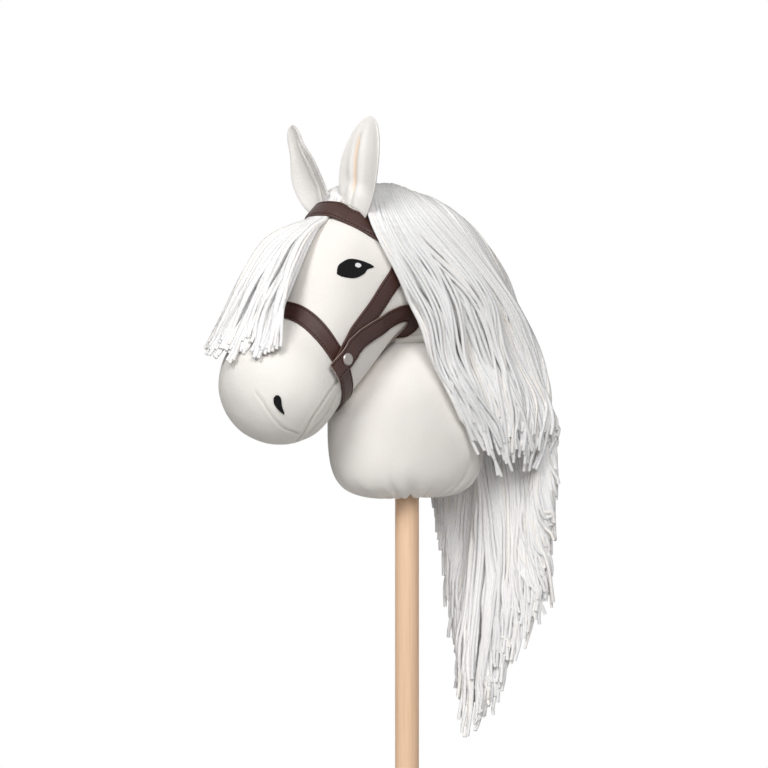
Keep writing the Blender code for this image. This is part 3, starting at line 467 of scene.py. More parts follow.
def soft_yarn():
    finish = Finish("white_yarn", (0.93, 0.93, 0.94), 0.9, Sheen_Weight=0.2, Sheen_Roughness=0.4,
                    Specular_IOR_Level=0.2)
    turn = finish.attribute("around") * 2.0 * math.pi
    twist = (finish.attribute("along") * 900.0 + turn * 3.0).sine() * 0.5 + 0.5
    fuzz = finish.noise(900.0, 3.0)
    tone = finish.attribute("tone")
    white = finish.tint(tone, (0.875, 0.875, 0.88), (0.93, 0.925, 0.92))
    lit = finish.tint(tone.power(7.0), white, (0.95, 0.91, 0.86))
    # The twist also greys the colour a little along the plies: painted shade of the yarn's twist.
    finish.set("Base Color", finish.tint(twist * fuzz * 0.22, lit, (0.80, 0.80, 0.82)))
    finish.bump(twist * 0.5 + fuzz * 0.5, 0.0004, 0.6)
    return finish.material


nickel, pine, cotton, yarn = satin_nickel(), pine_wood(), woven_cotton(), soft_yarn()
black_thread = embroidery_thread("black_thread", (0.002, 0.002, 0.002), (0.007, 0.007, 0.008))
white_thread = embroidery_thread("white_thread", (0.80, 0.80, 0.80), (0.92, 0.92, 0.92))
brown_thread = embroidery_thread("brown_thread", (0.004, 0.0015, 0.001), (0.010, 0.004, 0.003))

# %% [markdown]
# ## Geometry Nodes trees
# Two trees make everything that repeats. "strands" turns chains of edges into round strands, and keeps how
# far along and how far round each point is. "stitches" walks along a line in equal steps and sets one
# short rounded stitch on each step.

# %% A small class for Geometry Nodes trees
class NodeTree:
    def __init__(self, name, inputs):
        self.tree = bpy.data.node_groups.new(name, "GeometryNodeTree")
        face = self.tree.interface
        face.new_socket("Geometry", in_out="INPUT", socket_type="NodeSocketGeometry")
        for label, (kind, value) in inputs.items():
            socket = face.new_socket(label, in_out="INPUT", socket_type="NodeSocket" + kind)
            if value is not None:
                socket.default_value = value
        face.new_socket("Geometry", in_out="OUTPUT", socket_type="NodeSocketGeometry")
        self.start = self.tree.nodes.new("NodeGroupInput")
        self.end = self.tree.nodes.new("NodeGroupOutput")

    def input(self, label):
        return self.start.outputs[label]

    def node(self, kind, settings=None, inputs=None):
        return add_node(self.tree, kind, settings, inputs)

    def store(self, geometry, name, value):
        settings = {"data_type": "FLOAT", "domain": "POINT"}
        inputs = {"Geometry": geometry, "Name": name, "Value": value}
        return self.node("GeometryNodeStoreNamedAttribute", settings, inputs)

    def finish_with(self, geometry, material):
        real = self.node("GeometryNodeRealizeInstances", None, {"Geometry": geometry})
        smooth = self.node("GeometryNodeSetShadeSmooth", None, {"Geometry": real})
        dressed = self.node("GeometryNodeSetMaterial", None, {"Geometry": smooth, "Material": material})
        self.tree.links.new(dressed.outputs[0], self.end.inputs[0])

    def grow(self, host, **values):
        """The mesh that this tree makes from a host object, whose inputs are set by identifier."""
        modifier = host.modifiers.new(self.tree.name, "NODES")
        modifier.node_group = self.tree
        for item in self.tree.interface.items_tree:
            if item.item_type == "SOCKET" and item.in_out == "INPUT" and item.name in values:
                modifier[item.identifier] = values[item.name]
        return bake(host)


# %% The strand tree
def strand_tree():
    tree = NodeTree("strands", {"Radius": ("Float", 0.001), "Sides": ("Int", 6),
                                "Finish": ("Material", None)})
    line = tree.node("GeometryNodeMeshToCurve", None, {"Mesh": tree.input("Geometry")})
    parameter = tree.node("GeometryNodeSplineParameter")
    line = tree.store(line, "along", parameter.outputs["Length"])
    thick = tree.node("GeometryNodeInputNamedAttribute", {"data_type": "FLOAT"}, {"Name": "thick"})
    thick = thick.outputs["Attribute"]
    line = tree.node("GeometryNodeSetCurveRadius", None, {"Curve": line, "Radius": thick})
    ring = tree.node("GeometryNodeCurvePrimitiveCircle", {"mode": "RADIUS"},
                     {"Resolution": tree.input("Sides"), "Radius": tree.input("Radius")})
    ring = tree.store(ring, "around", tree.node("GeometryNodeSplineParameter").outputs["Factor"])
    tube = tree.node("GeometryNodeCurveToMesh", None,
                     {"Curve": line, "Profile Curve": ring, "Fill Caps": True})
    tree.finish_with(tube, tree.input("Finish"))
    return tree


# %% The stitch tree
def stitch_tree():
    tree = NodeTree("stitches", {"Step": ("Float", 0.0036), "Length": ("Float", 0.0028),
                                 "Thread": ("Float", 0.0006), "Finish": ("Material", None)})
    line = tree.node("GeometryNodeMeshToCurve", None, {"Mesh": tree.input("Geometry")})
    steps = tree.node("GeometryNodeCurveToPoints", {"mode": "LENGTH"},
                      {"Curve": line, "Length": tree.input("Step")})
    ball = tree.node("GeometryNodeMeshUVSphere", None, {"Segments": 6, "Rings": 5, "Radius": 0.5})
    size = tree.node("ShaderNodeCombineXYZ", None, {"X": tree.input("Thread"), "Y": tree.input("Thread"),
                                                    "Z": tree.input("Length")})
    placed = tree.node("GeometryNodeInstanceOnPoints", None, {
        "Points": steps.outputs["Points"], "Instance": ball.outputs["Mesh"],
        "Rotation": steps.outputs["Rotation"], "Scale": size})
    tree.finish_with(placed, tree.input("Finish"))
    return tree


strands_tree, stitches_tree = strand_tree(), stitch_tree()


# %% Lines for the trees
def chain_host(name, chains):
    """Edges through each chain of points, with a thickness for every point and a tone for every chain."""
    points, edges, thick, tones = [], [], [], []
    for line, widths, tone in chains:
        first = len(points)
        points += line
        edges += [(first + step, first + step + 1) for step in range(len(line) - 1)]
        thick += widths
        tones += [tone] * len(line)
    mesh = mesh_from(name, points, [], edges)
    add_attribute(mesh, "thick", thick)
    add_attribute(mesh, "tone", tones)
    return new_object(name, mesh)


# %% [markdown]
# ## Head and neck
# The real head and neck are two stuffed bags of jersey, sewn together at the throat. They are stuffed so
# tight that the cloth hardly folds, so they are modelled as coarse cages of rings that Subdivision Surface
# rounds, and the sewn details are then pressed into the fine skin: the muzzle seam, the mouth seam, the
# throat seam and the gathers round the stick.

# %% Rings of the head
def superellipse(angle, fullness):
    power = 2.0 / fullness
    return (math.copysign(abs(math.cos(angle)) ** power, math.cos(angle)),
            math.copysign(abs(math.sin(angle)) ** power, math.sin(angle)))


def section_ring(throat, crest, half_width, fullness=2.25):
    middle, half = (throat + crest) / 2, (crest - throat) / 2
    long_axis, wide_axis = half * CAGE_SWELL, Vector((0.0, -half_width * CAGE_SWELL, 0.0))
    ring = []
    for index in range(RING_POINTS):
        along, across = superellipse(2 * math.pi * index / RING_POINTS, fullness)
        ring.append(middle + long_axis * along + wide_axis * across)
    return ring


def head_row(row):
    throat_x, throat_height, crest_x, crest_height, width_share = row
    return at(throat_x, throat_height), at(crest_x, crest_height), width_share * HEAD_HALF_WIDTH


def head_rings():
    mouth = on_middle(MOUTH_FRONT, THROAT_Z), on_middle(MOUTH_BACK, THROAT_Z), MOUTH_HALF_WIDTH
    rings = [section_ring(*mouth)] + [section_ring(*head_row(row)) for row in HEAD_ROWS]
    centre = on_middle(MUZZLE_PLACE[0], THROAT_Z + MUZZLE_PLACE[1])
    axis = on_middle(-math.cos(MUZZLE_DROP), -math.sin(MUZZLE_DROP))
    upward = on_middle(-math.sin(MUZZLE_DROP), math.cos(MUZZLE_DROP))
    for angle in MUZZLE_ANGLES:
        middle = centre + axis * MUZZLE_RADIUS * math.cos(math.radians(angle))
        radius = MUZZLE_RADIUS * math.sin(math.radians(angle))
        rings.append(section_ring(middle - upward * radius, middle + upward * radius, radius, fullness=2.0))
    return rings, centre + axis * MUZZLE_RADIUS


def throat_line_x(z):
    heights = [THROAT_Z + row[1] * MM for row in HEAD_ROWS[4:]]
    places = [row[0] * MM for row in HEAD_ROWS[4:]]
    return float(np.interp(z, heights[::-1], places[::-1]))


# %% Rings of the neck
def neck_rings():
    front, back = (on_middle(x, THROAT_Z - SKIN_GAP) for x in (MOUTH_FRONT, MOUTH_BACK))
    rings = [section_ring(front, back, MOUTH_HALF_WIDTH)]
    for height_share, length_share, width_share in NECK_ROWS:
        z = NECK_BASE_Z + NECK_HEIGHT * height_share
        front = max(-NECK_LENGTH / 2 * length_share, throat_line_x(z) + JAW_CLEARANCE * math.sqrt(2.0))
        rings.append(section_ring(on_middle(front, z), on_middle(NECK_LENGTH / 2 * length_share, z),
                                  NECK_WIDTH / 2 * width_share))
    front, back = (on_middle(x, NECK_BASE_Z + BASE_DIMPLE) for x in (-BASE_HOLE / 2, BASE_HOLE / 2))
    rings.append(section_ring(front, back, BASE_HOLE / 2, fullness=2.0))
    return rings


# %% A skin from its rings
def tube_faces(rings, closed_at_end):
    faces = []
    for row in range(len(rings) - 1):
        faces += band(row * RING_POINTS, (row + 1) * RING_POINTS, RING_POINTS, closed=True)
    if closed_at_end:
        last, pole = (len(rings) - 1) * RING_POINTS, len(rings) * RING_POINTS
        faces += [(last + index, last + (index + 1) % RING_POINTS, pole) for index in range(RING_POINTS)]
    return faces


def skin_mesh(name, rings, pole, levels):
    points = [point for ring in rings for point in ring] + ([pole] if pole else [])
    mesh = mesh_from(name, points, tube_faces(rings, pole is not None))
    face_outwards(mesh)
    heart = sum(points, Vector()) / len(points)
    if sum((face.center - heart).dot(face.normal) for face in mesh.polygons) < 0.0:
        mesh.flip_normals()
    host = new_object(name, mesh)
    modifier = host.modifiers.new("soft form", "SUBSURF")
    modifier.levels = modifier.render_levels = levels
    return bake(host)


# %% The skins as surfaces that other pieces sit on
class Skin:
    def __init__(self, mesh):
        form = bmesh.new()
        form.from_mesh(mesh)
        self.open = BVHTree.FromBMesh(form)
        bmesh.ops.holes_fill(form, edges=[edge for edge in form.edges if edge.is_boundary], sides=0)
        bmesh.ops.recalc_face_normals(form, faces=form.faces)
        self.closed = BVHTree.FromBMesh(form)
        form.free()

    def seat(self, point, height=0.0):
        place, normal, _, _ = self.open.find_nearest(point)
        return place + normal * height, normal

    def lift(self, point, clearance):
        place, normal, _, distance = self.closed.find_nearest(point)
        inside = (point - place).dot(normal) < -0.97 * distance
        return place + normal * clearance if inside or distance < clearance else point


rings, pole = head_rings()
head_smooth = skin_mesh("head_smooth", rings, pole, SMOOTH_LEVELS)
neck_smooth = skin_mesh("neck_smooth", neck_rings(), None, SMOOTH_LEVELS)
head_skin, neck_skin = Skin(head_smooth), Skin(neck_smooth)


def nearest_seat(point, height=0.0):
    seats = [skin.seat(point, height) for skin in (head_skin, neck_skin)]
    return min(seats, key=lambda seat: (seat[0] - point).length)


def lifted(point, clearance):
    for skin in (head_skin, neck_skin, head_skin, neck_skin):
        point = skin.lift(point, clearance)
    return point


# %% [markdown]
# A seam is a line that the stuffing can't push out, so each one becomes a soft groove: every point of the
# fine skin moves in by an amount that fades with its distance from the seam's line. The line itself was
# read off the near side and is laid on both sides.

# %% Seam lines and grooves
CHIN_SEAM = ((-114, -28, -48), (-122, -35, -50), (-134, -45, -55), (-143, -54, -56), (-150, -65, -53),
             (-154, -75, -48), (-154, -84, -40), (-152, -91, -30), (-149, -96, -14), (-148, -98, 0))
CHIN_FOLD = ((-115, -43, -46), (-126, -54, -49), (-132, -66, -47), (-139, -76, -44), (-144, -84, -37),
             (-143, -91, -27))
MOUTH_SEAM = ((-209, -46, -29), (-206, -52, -32), (-201, -60, -35), (-195, -69, -36), (-188, -76, -36),
              (-178, -83, -35), (-166, -87, -35), (-153, -90, -31))
# Each seam with its groove's depth and half width, and how deep its thread lies; the thread is dark as
# painted shade in the groove.
SEAMS = ((CHIN_SEAM, 0.0011, 0.0014, 0.0008), (CHIN_FOLD, 0.0006, 0.0016, 0.0005),
         (MOUTH_SEAM, 0.0007, 0.0013, 0.0007))
SHOULDER = 0.35  # how high the cloth swells beside a groove, as a share of the groove's depth


def seated_line(outline, count, height=0.0):
    return [head_skin.seat(point, height)[0] for point in traced(outline, count)]


def both_sides(line):
    return [line, [mirror_point(point) for point in line]]


def distance_to(points, line):
    """Each point's distance from a line, and how far along the line it is."""
    best, share = np.full(len(points), np.inf), np.zeros(len(points))
    for number, (start, end) in enumerate(zip(line, line[1:])):
        start, step = np.array(start), np.array(end) - np.array(start)
        reach = np.clip(((points - start) @ step) / max(step @ step, 1e-12), 0.0, 1.0)
        gap = np.linalg.norm(points - (start + reach[:, None] * step), axis=1)
        nearer = gap < best
        best[nearer] = gap[nearer]
        share[nearer] = ((number + reach) / (len(line) - 1))[nearer]
    return best, share


def dent(gap, depth, half_width):
    return depth * np.exp(-(gap / half_width) ** 2)


def groove(points, lines, depth, half_width):
    """How far out each point moves: a groove with soft shoulders that fades out at the line's ends."""
    move = np.zeros(len(points))
    for line in lines:
        gap, share = distance_to(points, line)
        fade = np.clip(np.minimum(share, 1.0 - share) * 8.0, 0.0, 1.0) ** 0.5
        shoulder = dent(gap - 2.6 * half_width, depth * SHOULDER, 1.6 * half_width)
        move += (shoulder - dent(gap, depth, half_width)) * fade
    return move


def lumps(points, size, height):
    return np.array([noise.noise(Vector(point) / size) for point in points]) * height


# %% The head cover
mouth_ring = [head_skin.seat(point)[0] for point in head_rings()[0][0]]
mouth_ring = smooth_path([*mouth_ring, mouth_ring[0]], 96)
throat_fold = [head_skin.seat(point + Vector((0.0, 0.0, 0.009)))[0] for point in mouth_ring]

head_mesh = skin_mesh("head", *head_rings(), SKIN_LEVELS)
points, normals = points_and_normals(head_mesh)
move = sum(groove(points, both_sides(seated_line(line, 48)), depth, half_width)
           for line, depth, half_width, _ in SEAMS)
rim_gap, _ = distance_to(points, mouth_ring)
fold_gap, _ = distance_to(points, throat_fold)
move -= dent(rim_gap, 0.0016, 0.0026)
move -= dent(fold_gap, 0.0010, 0.0020)
move += lumps(points, 0.055, 0.0011) + lumps(points, 0.020, 0.0004)
points = points + normals * move[:, None]
points[:, 2] -= dent(rim_gap, 0.0010, 0.0022)
move_to(head_mesh, points)
head = finished("head", head_mesh, "head", jersey, "cream_jersey", ("head_cover", "head_filling"), 80)
print("head:", len(head_mesh.polygons), "faces")

# %% The seam thread, coloured dark as painted shade
# The thread follows a real seam, but its dark colour is painted shade at the bottom of the groove.
seam_shade_finish = Finish("seam_shadow", (0.56, 0.51, 0.45), 0.95).material
seams = []
for line, _, _, sunk in SEAMS:
    for chain in both_sides(seated_line(line, 90, -sunk)[3:-3]):
        seams.append((chain, [1.0] * len(chain), 0.5))
seam_mesh = strands_tree.grow(chain_host("seam_shaded_thread", seams), Radius=0.00025, Sides=6, Finish=seam_shade_finish)
finished("seam_shaded_thread", seam_mesh, "head", seam_shade_finish, "cream_jersey")

# %% [markdown]
# The neck's lower edge is drawn together round the stick, so its base carries gathers: folds that radiate
# from the stick, deepest at the cord, and fade out a few centimetres up the side.

# %% The neck cover
GATHERS, GATHER_DEPTH, GATHER_REACH = 19, 0.0048, 0.014
neck_mesh = skin_mesh("neck", neck_rings(), None, SKIN_LEVELS)
points, normals = points_and_normals(neck_mesh)
rim_gap, _ = distance_to(points, mouth_ring)
move = -dent(rim_gap, 0.0016, 0.0026)
angle = np.arctan2(points[:, 1] * 1.35, points[:, 0])
height = points[:, 2] - NECK_BASE_Z
drift = np.array([wander(math.cos(a) * 1.7, math.sin(a) * 1.7, 4.0) for a in angle])
folds = 0.5 + 0.5 * np.cos(GATHERS * angle + 5.0 * drift)
reach = np.clip(1.0 + 1.6 * drift, 0.2, 2.2)
move -= GATHER_DEPTH * folds ** 2.0 * np.exp(-(height / (GATHER_REACH * reach)) ** 1.3)
move += lumps(points, 0.06, 0.0012) + lumps(points, 0.022, 0.0004)
points = points + normals * move[:, None]
points[:, 2] += dent(rim_gap, 0.0012, 0.0022)
move_to(neck_mesh, points)
neck = finished("neck", neck_mesh, "head", jersey, "cream_jersey", ("neck_cover", "neck_filling"), 80)
print("neck:", len(neck_mesh.polygons), "faces")

# %% [markdown]
# ## Ears
# Each ear is a leaf of jersey backed on a pale lining, turned right side out, with a little stuffing and
# a crease down the lining, tinted peach as painted warm shade. Both leaves share one bent middle surface.
# Each is a thin lens on its own side of it, so that they meet along the rim as the sewn edge does.

# %% Ear shape
EAR_HEIGHT, EAR_WIDTH, EAR_FOLD, EAR_BEND = 0.096, 0.0515, 0.011, 0.006
EAR_THICKNESS, EAR_CROWN, EAR_CREASE, LEAF_GAP = 0.0017, 0.0028, 0.0021, 0.00012
EAR_PLACE, EAR_TURNS = Vector((-0.085, -0.036, THROAT_Z + 0.14)), (("X", 24), ("Y", -9), ("Z", 8))
EAR_ROWS, EAR_COLUMNS = 60, 61
FOOT_ROWS, PULLED_ROWS = 14, 9.0  # rows kept clear of the head's skin, and rows drawn down to it


def ear_middle(share, across, pinch):
    """The ear's bent middle surface; pinch narrows it below its tip, where the cloth has rolled in."""
    leaf = math.sin(math.pi * (0.19 + 0.809 * max(share, 0.0))) ** 0.50
    leaf *= 1.0 - pinch * math.exp(-((share - 0.74) / 0.17) ** 2)
    half = EAR_WIDTH / 2 * leaf
    hem = EAR_HEIGHT * max(-share, 0.0) * (1.0 - 0.85 * across * across)
    share = max(share, 0.0)
    fold = EAR_FOLD * (1.0 - 0.55 * share) * (1.0 - across * across) * leaf
    fold *= 0.15 + 0.85 * smooth_step(share / 0.3)
    foot = 0.0045 * (1.0 - share) ** 2
    sway = 0.006 * pinch * math.sin(2.0 * math.pi * share)
    return Vector((fold - EAR_BEND * math.sin(math.pi * share) - foot - 0.85 * hem,
                   across * half + foot - sway - 0.35 * hem, EAR_HEIGHT * share - 0.5 * hem))


ear_root, _ = head_skin.seat(EAR_PLACE, 0.0014)
ear_frame = Matrix.Translation(ear_root)
for axis, degrees in EAR_TURNS:
    ear_frame = ear_frame @ Matrix.Rotation(math.radians(degrees), 4, axis)


# %% Where the ear faces and how thick it is
def ear_facing(share, across, pinch):
    step = 0.004
    up = ear_middle(min(share + 0.0002, 1.0), across, pinch) - ear_middle(share - step, across, pinch)
    out = (ear_middle(share, min(across + step, 1.0), pinch)
           - ear_middle(share, max(across - step, -1.0), pinch))
    return out.cross(up).normalized()


def ear_thickness(share, across, pinch, side):
    """A thin lens; the lining also has a padded crown each side of a crease."""
    thickness = EAR_THICKNESS * max(1.0 - across ** 6, 0.0) ** 0.5 * max(1.0 - abs(share) ** 12, 0.0) ** 0.5
    crease = 0.0
    if side < 0:
        offset = across - 0.24 - 0.40 * share
        crown = math.exp(-((abs(offset) - 0.20) / 0.17) ** 2) * max(1.0 - across ** 4, 0.0)
        crown *= smooth_step((1.0 - share) / 0.40)
        middle_share = math.sin(math.pi * min(max(share, 0.0), 1.0)) ** 0.5
        thickness += EAR_CROWN * crown * (1.0 - 2.0 * pinch) * middle_share
        reach = smooth_step((share - 0.08) / 0.12) * smooth_step((0.84 - share) / 0.14)
        crease = math.exp(-(offset / 0.075) ** 2) * (reach * (1.0 - 2.0 * pinch))
        thickness -= EAR_CREASE * crease
    return thickness * (1.0 + 8.0 * min(share, 0.0)), crease


# %% A leaf of an ear
def ear_leaf(name, side, pinch):
    """The lining's leaf has side -1 and faces forwards; the back's has side 1."""
    middle, top, creases = [], [], []
    for row in range(EAR_ROWS):
        share = 1.084 * (1.0 - (1.0 - row / (EAR_ROWS - 1)) ** 1.6) - 0.09
        for column in range(EAR_COLUMNS):
            across = math.sin(math.pi / 2 * (-1.0 + 2.0 * column / (EAR_COLUMNS - 1)))
            place, facing = ear_middle(share, across, pinch), ear_facing(share, across, pinch)
            thickness, crease = ear_thickness(share, across, pinch, side)
            wave = 0.0006 * wander(across * 1.6, share * 4.0, 2.0 + side)
            rise = LEAF_GAP + max(thickness + wave * thickness * 300, 0.0)
            creases.append(crease)
            middle.append(ear_frame @ (place + facing * (side * LEAF_GAP)))
            top.append(ear_frame @ (place + facing * side * rise))
    for grid, height in ((middle, 0.0003), (top, 0.0008)):
        for index in range(FOOT_ROWS * EAR_COLUMNS):
            spot = head_skin.lift(grid[index], 0.0004)
            pull = smooth_step(1.0 - (index // EAR_COLUMNS) / PULLED_ROWS)
            grid[index] = spot.lerp(head_skin.seat(spot, height)[0], pull)
    count = EAR_ROWS * EAR_COLUMNS
    faces = []
    for row in range(EAR_ROWS - 1):
        for face in band(row * EAR_COLUMNS, (row + 1) * EAR_COLUMNS, EAR_COLUMNS):
            faces += [face, tuple(count + face[corner] for corner in (0, 3, 2, 1))]
    grid = np.arange(count).reshape(EAR_ROWS, EAR_COLUMNS)
    rim = [int(corner) for corner in (*grid[0], *grid[1:, -1], *grid[-1, -2::-1], *grid[-2:0:-1, 0])]
    faces += [(start, end, end + count, start + count) for start, end in zip(rim, rim[1:] + rim[:1])]
    mesh = mesh_from(name, middle + top, faces)
    if side < 0:
        add_attribute(mesh, "crease", [0.0] * count + creases)
    face_outwards(mesh)
    return mesh


# %% Both ears
for part, side, finish, slot in (("ear_back", 1, jersey, "cream_jersey"),
                                 ("ear_lining", -1, lining, "peach_lining")):
    near_leaf = ear_leaf("near_" + part, side, 0.0)
    far_leaf = far_twin(ear_leaf("far_pattern", side, 0.30), "far_" + part)
    for name, leaf in (("near_", near_leaf), ("far_", far_leaf)):
        piece = finished(name + part + "_sewn", leaf, "head", finish, slot, (name + part,), 75)
print("ears: 4 leaves")

# %% [markdown]
# ## Straps
# A strap is swept directly, because a swept profile keeps its edges crisp. Its middle line is laid on the
# skin, three points across give it the skin's own curve, and a profile with rounded edges and two pressed
# channels is carried along. The stitches then lie in those channels.

# %% The strap's profile
CHANNEL = 0.76
STRAP_HALF = ((1.00, 0.00), (1.00, 0.30), (1.00, 1.15), (0.992, 1.38), (0.965, 1.54), (0.92, 1.62),
              (0.83, 1.62), (0.79, 1.52), (CHANNEL, 1.34), (0.73, 1.52), (0.69, 1.64), (0.35, 1.72))
EDGE_FACES = (4, 25)  # the sides of the profile that show the strap's core
TAPE_HALF = ((1.0, 0.0), (1.0, 0.7), (0.94, 1.1), (0.5, 1.2))


def whole_profile(half, underside, top):
    """Every point round a strap, from its left edge along the underside.

    A point is its share of the half width and its height in millimetres.
    """
    left = [(-across, height) for across, height in half]
    return (left[0], *underside, *half, top, *left[:0:-1])


STRAP_PROFILE = whole_profile(STRAP_HALF, ((-0.4, 0.0), (0.4, 0.0)), (0.0, 1.74))
TAPE_PROFILE = whole_profile(TAPE_HALF, ((0.0, 0.0),), (0.0, 1.2))


# %% Where a strap lies
def strap_stations(line, seat, height_at, width, closed=False, settle=None):
    """For each step along a line, the strap's underside at its left edge, middle and right edge."""
    seated = [seat(point) for point in line]
    count, stations = len(line), []
    for index, (point, normal) in enumerate(seated):
        before = seated[index - 1] if closed or index else seated[0]
        after = seated[(index + 1) % count] if closed or index + 1 < count else seated[-1]
        along = (after[0] - before[0]).normalized()
        facing = (before[1] + normal + after[1]).normalized()
        across = facing.cross(along).normalized()
        row = []
        for share in (-0.5, 0.0, 0.5):
            edge, edge_normal = seat(point + across * share * width)
            spot = edge + (edge_normal + 2 * facing).normalized() * height_at(point)
            row.append(settle(spot) if settle else spot)
        stations.append((row, facing))
    return stations


def across_strap(row, share):
    left, middle, right = row
    return left * (share * (share - 1) / 2) + middle * (1 - share * share) + right * (share * (share + 1) / 2)


def strap_point(stations, index, share, height, closed):
    row, facing = stations[index]
    count = len(stations)
    after = stations[(index + 1) % count if closed else min(index + 1, count - 1)][0]
    before = stations[index - 1 if closed or index else 0][0]
    along = after[1] - before[1]
    slope = across_strap(row, share + 0.05) - across_strap(row, share - 0.05)
    normal = slope.cross(along).normalized()
    if normal.dot(facing) < 0.0:
        normal = -normal
    return across_strap(row, share) + normal * height * MM


# %% A strap's mesh
def strap_mesh(name, stations, profile, closed=False, edge=sealed_edge):
    count, sides = len(stations), len(profile)
    points = [strap_point(stations, index, share, height, closed)
              for index in range(count) for share, height in profile]
    faces, skins = [], []
    for index in range(count if closed else count - 1):
        faces += band(index * sides, (index + 1) % count * sides, sides, closed=True)
        skins += [int(side in EDGE_FACES and profile is STRAP_PROFILE) for side in range(sides)]
    if not closed:
        faces += [tuple(range(sides))[::-1], tuple((count - 1) * sides + side for side in range(sides))]
        skins += [1, 1]
    mesh = mesh_from(name, points, faces)
    add_attribute(mesh, "across", [abs(share) for _ in range(count) for share, _ in profile])
    mesh.materials.append(leather)
    mesh.materials.append(edge)
    mesh.polygons.foreach_set("material_index", skins)
    face_outwards(mesh, weld=False)
    return mesh


# %% Stitches along a strap
STITCH_HEIGHT = 1.50


def stitch_mesh(name, stations, closed=False, trim=2):
    chains = []
    for share in (-CHANNEL, CHANNEL):
        indices = list(range(len(stations))) if closed else list(range(trim, len(stations) - trim))
        line = [strap_point(stations, index, share, STITCH_HEIGHT, closed) for index in indices]
        if closed:
            line.append(line[0])
        chains.append((line, [1.0] * len(line), 0.5))
    host = chain_host(name, chains)
    return stitches_tree.grow(host, Step=0.0036, Length=0.0029, Thread=0.0009, Finish=brown_thread)


def finished_strap(name, stations, body, replaced, closed=False, edge=sealed_edge):
    mesh = strap_mesh(name, stations, STRAP_PROFILE, closed, edge)
    strap = finished(name, mesh, body, None, "brown_leather", replaced, 40)
    mesh = stitch_mesh(name + "_stitches", stations, closed)
    threads = finished(name + "_stitches", mesh, body, brown_thread, "brown_leather")
    print(name + ":", len(stations), "steps,", len(threads.data.polygons) // 30, "stitches")
    return strap, threads


# %% [markdown]
# The bridle goes on in the order of the real one: noseband first, then the headstall that runs from the
# chin over the poll, then the browband, and the rein on top of the first two at the snap. Each strap's
# height above the skin says what it passes over.

# %% Where the snap fastener sits
snap_spot, snap_normal = head_skin.seat(at(-121.5, -17, -53))
snap_level = UP.cross(snap_normal).normalized()
snap_frame = (Matrix.Translation(snap_spot)
              @ Matrix((snap_level, snap_normal.cross(snap_level), snap_normal)).transposed().to_4x4())


def on_near_side(point):
    return Vector((point.x, -abs(point.y), point.z))


def snap_distance(point):
    return (on_near_side(point) - snap_spot).length


def flat_at_snap(height):
    """Eases a strap's points onto a flat disc round the snap fasteners."""
    def settle(point):
        local = snap_frame.inverted() @ on_near_side(point)
        flat = snap_frame @ Vector((local.x, local.y, height))
        flat.y = math.copysign(flat.y, point.y)
        past_disc = math.hypot(local.x, local.y) - FLAT_RADIUS
        return point.lerp(flat, 1.0 - smooth_step((past_disc + 0.001) / 0.004))

    return settle


def mirrored_path(points, count):
    half = [at(*point) for point in points]
    return smooth_path(half + [mirror_point(point) for point in reversed(half[:-1])], count)


# %% Noseband and headstall
ring = section_ring(*head_row(HEAD_ROWS[-1]))
line = smooth_path([*ring, ring[0]], 145)[:-1]


def noseband_height(point):
    return eased(snap_distance(point), NOSEBAND_AT_SNAP, STRAP_SEAT, 0.008, 0.020)


noseband = strap_stations(line, head_skin.seat, noseband_height, STRAP_WIDTH, closed=True)
finished_strap("noseband_strap", noseband, "head", ("noseband",), closed=True)

HEADSTALL_PATH = (
    (-127, -24.5, -54), (-121.5, -17, -53), (-110, 0, -53), (-98, 14, -53), (-81, 33, -52), (-68, 50, -52),
    (-54, 68, -52), (-46, 88, -51), (-46, 108, -48), (-52, 132, -34), (-57, 147, -14), (-58, 149, 0),
)


def headstall_height(point):
    return eased(snap_distance(point), HEADSTALL_AT_SNAP, STRAP_SEAT, 0.014, 0.034)


headstall = strap_stations(mirrored_path(HEADSTALL_PATH, 220), head_skin.seat, headstall_height, STRAP_WIDTH,
                           settle=flat_at_snap(HEADSTALL_AT_SNAP))
finished_strap("cheek_and_crown_strap", headstall, "head", ("headstall_strap",))

# %% Browband
BROWBAND_PATH = (
    (-38, 74, -53), (-50, 87, -51.5), (-62.5, 98.5, -48), (-77, 109.5, -44),
    (-90, 118.5, -35), (-101, 125, -20), (-105, 126, 0),
)


def browband_height(point):
    over_hair = eased(abs(point.y), BROWBAND_OVER_HAIR, STRAP_SEAT, 0.017, 0.030)
    return max(over_hair, eased(abs(point.y), STRAP_SEAT, OVER_STRAP, 0.040, 0.046))


line = mirrored_path(BROWBAND_PATH, 120)
brow_line = [head_skin.seat(point)[0] for point in line]


def off_the_brow(point):
    """The band's upper edge stands away from the brow where the forelock's root is under it."""
    nearest = min(brow_line, key=lambda spot: (spot - point).length)
    rise = max((point - nearest).z, 0.0) / STRAP_WIDTH
    return point + head_skin.seat(point)[1] * 0.006 * rise * eased(abs(point.y), 1.0, 0.0, 0.024, 0.044)


browband = strap_stations(line, head_skin.seat, browband_height, STRAP_WIDTH, settle=off_the_brow)
finished_strap("brow_strap", browband, "head", ("browband",))

# %% [markdown]
# The rein is one strap from snap to snap, under the jaw. Its ends come off their snaps, so the near and
# the far half are two pieces that meet under the jaw; neither is put on a body.

# %% The rein
REIN_PATH = (
    (-139, -31.5, -54.5), (-121.5, -17, -53), (-108, -3, -53), (-88, 8, -53), (-70, 16, -53), (-45, 26, -50),
    (-28, 28, -42), (-22, 22, -33), (-28, 7, -20), (-39, -9, -8), (-42, -12, 0),
)
REIN_STEPS, HALF_REIN = 241, 120
BEND_FROM, BEND_TO = 46, 30  # steps from a rein's end, whose points are taken but not used


def rein_height(point):
    distance = snap_distance(point)
    if distance < 0.018:
        return eased(distance, REIN_AT_SNAP, REIN_OVER_STRAPS, 0.008, 0.018)
    if distance < 0.038:
        return eased(distance, REIN_OVER_STRAPS, OVER_STRAP, 0.018, 0.034)
    return eased(distance, OVER_STRAP, STRAP_SEAT, 0.056, 0.074)


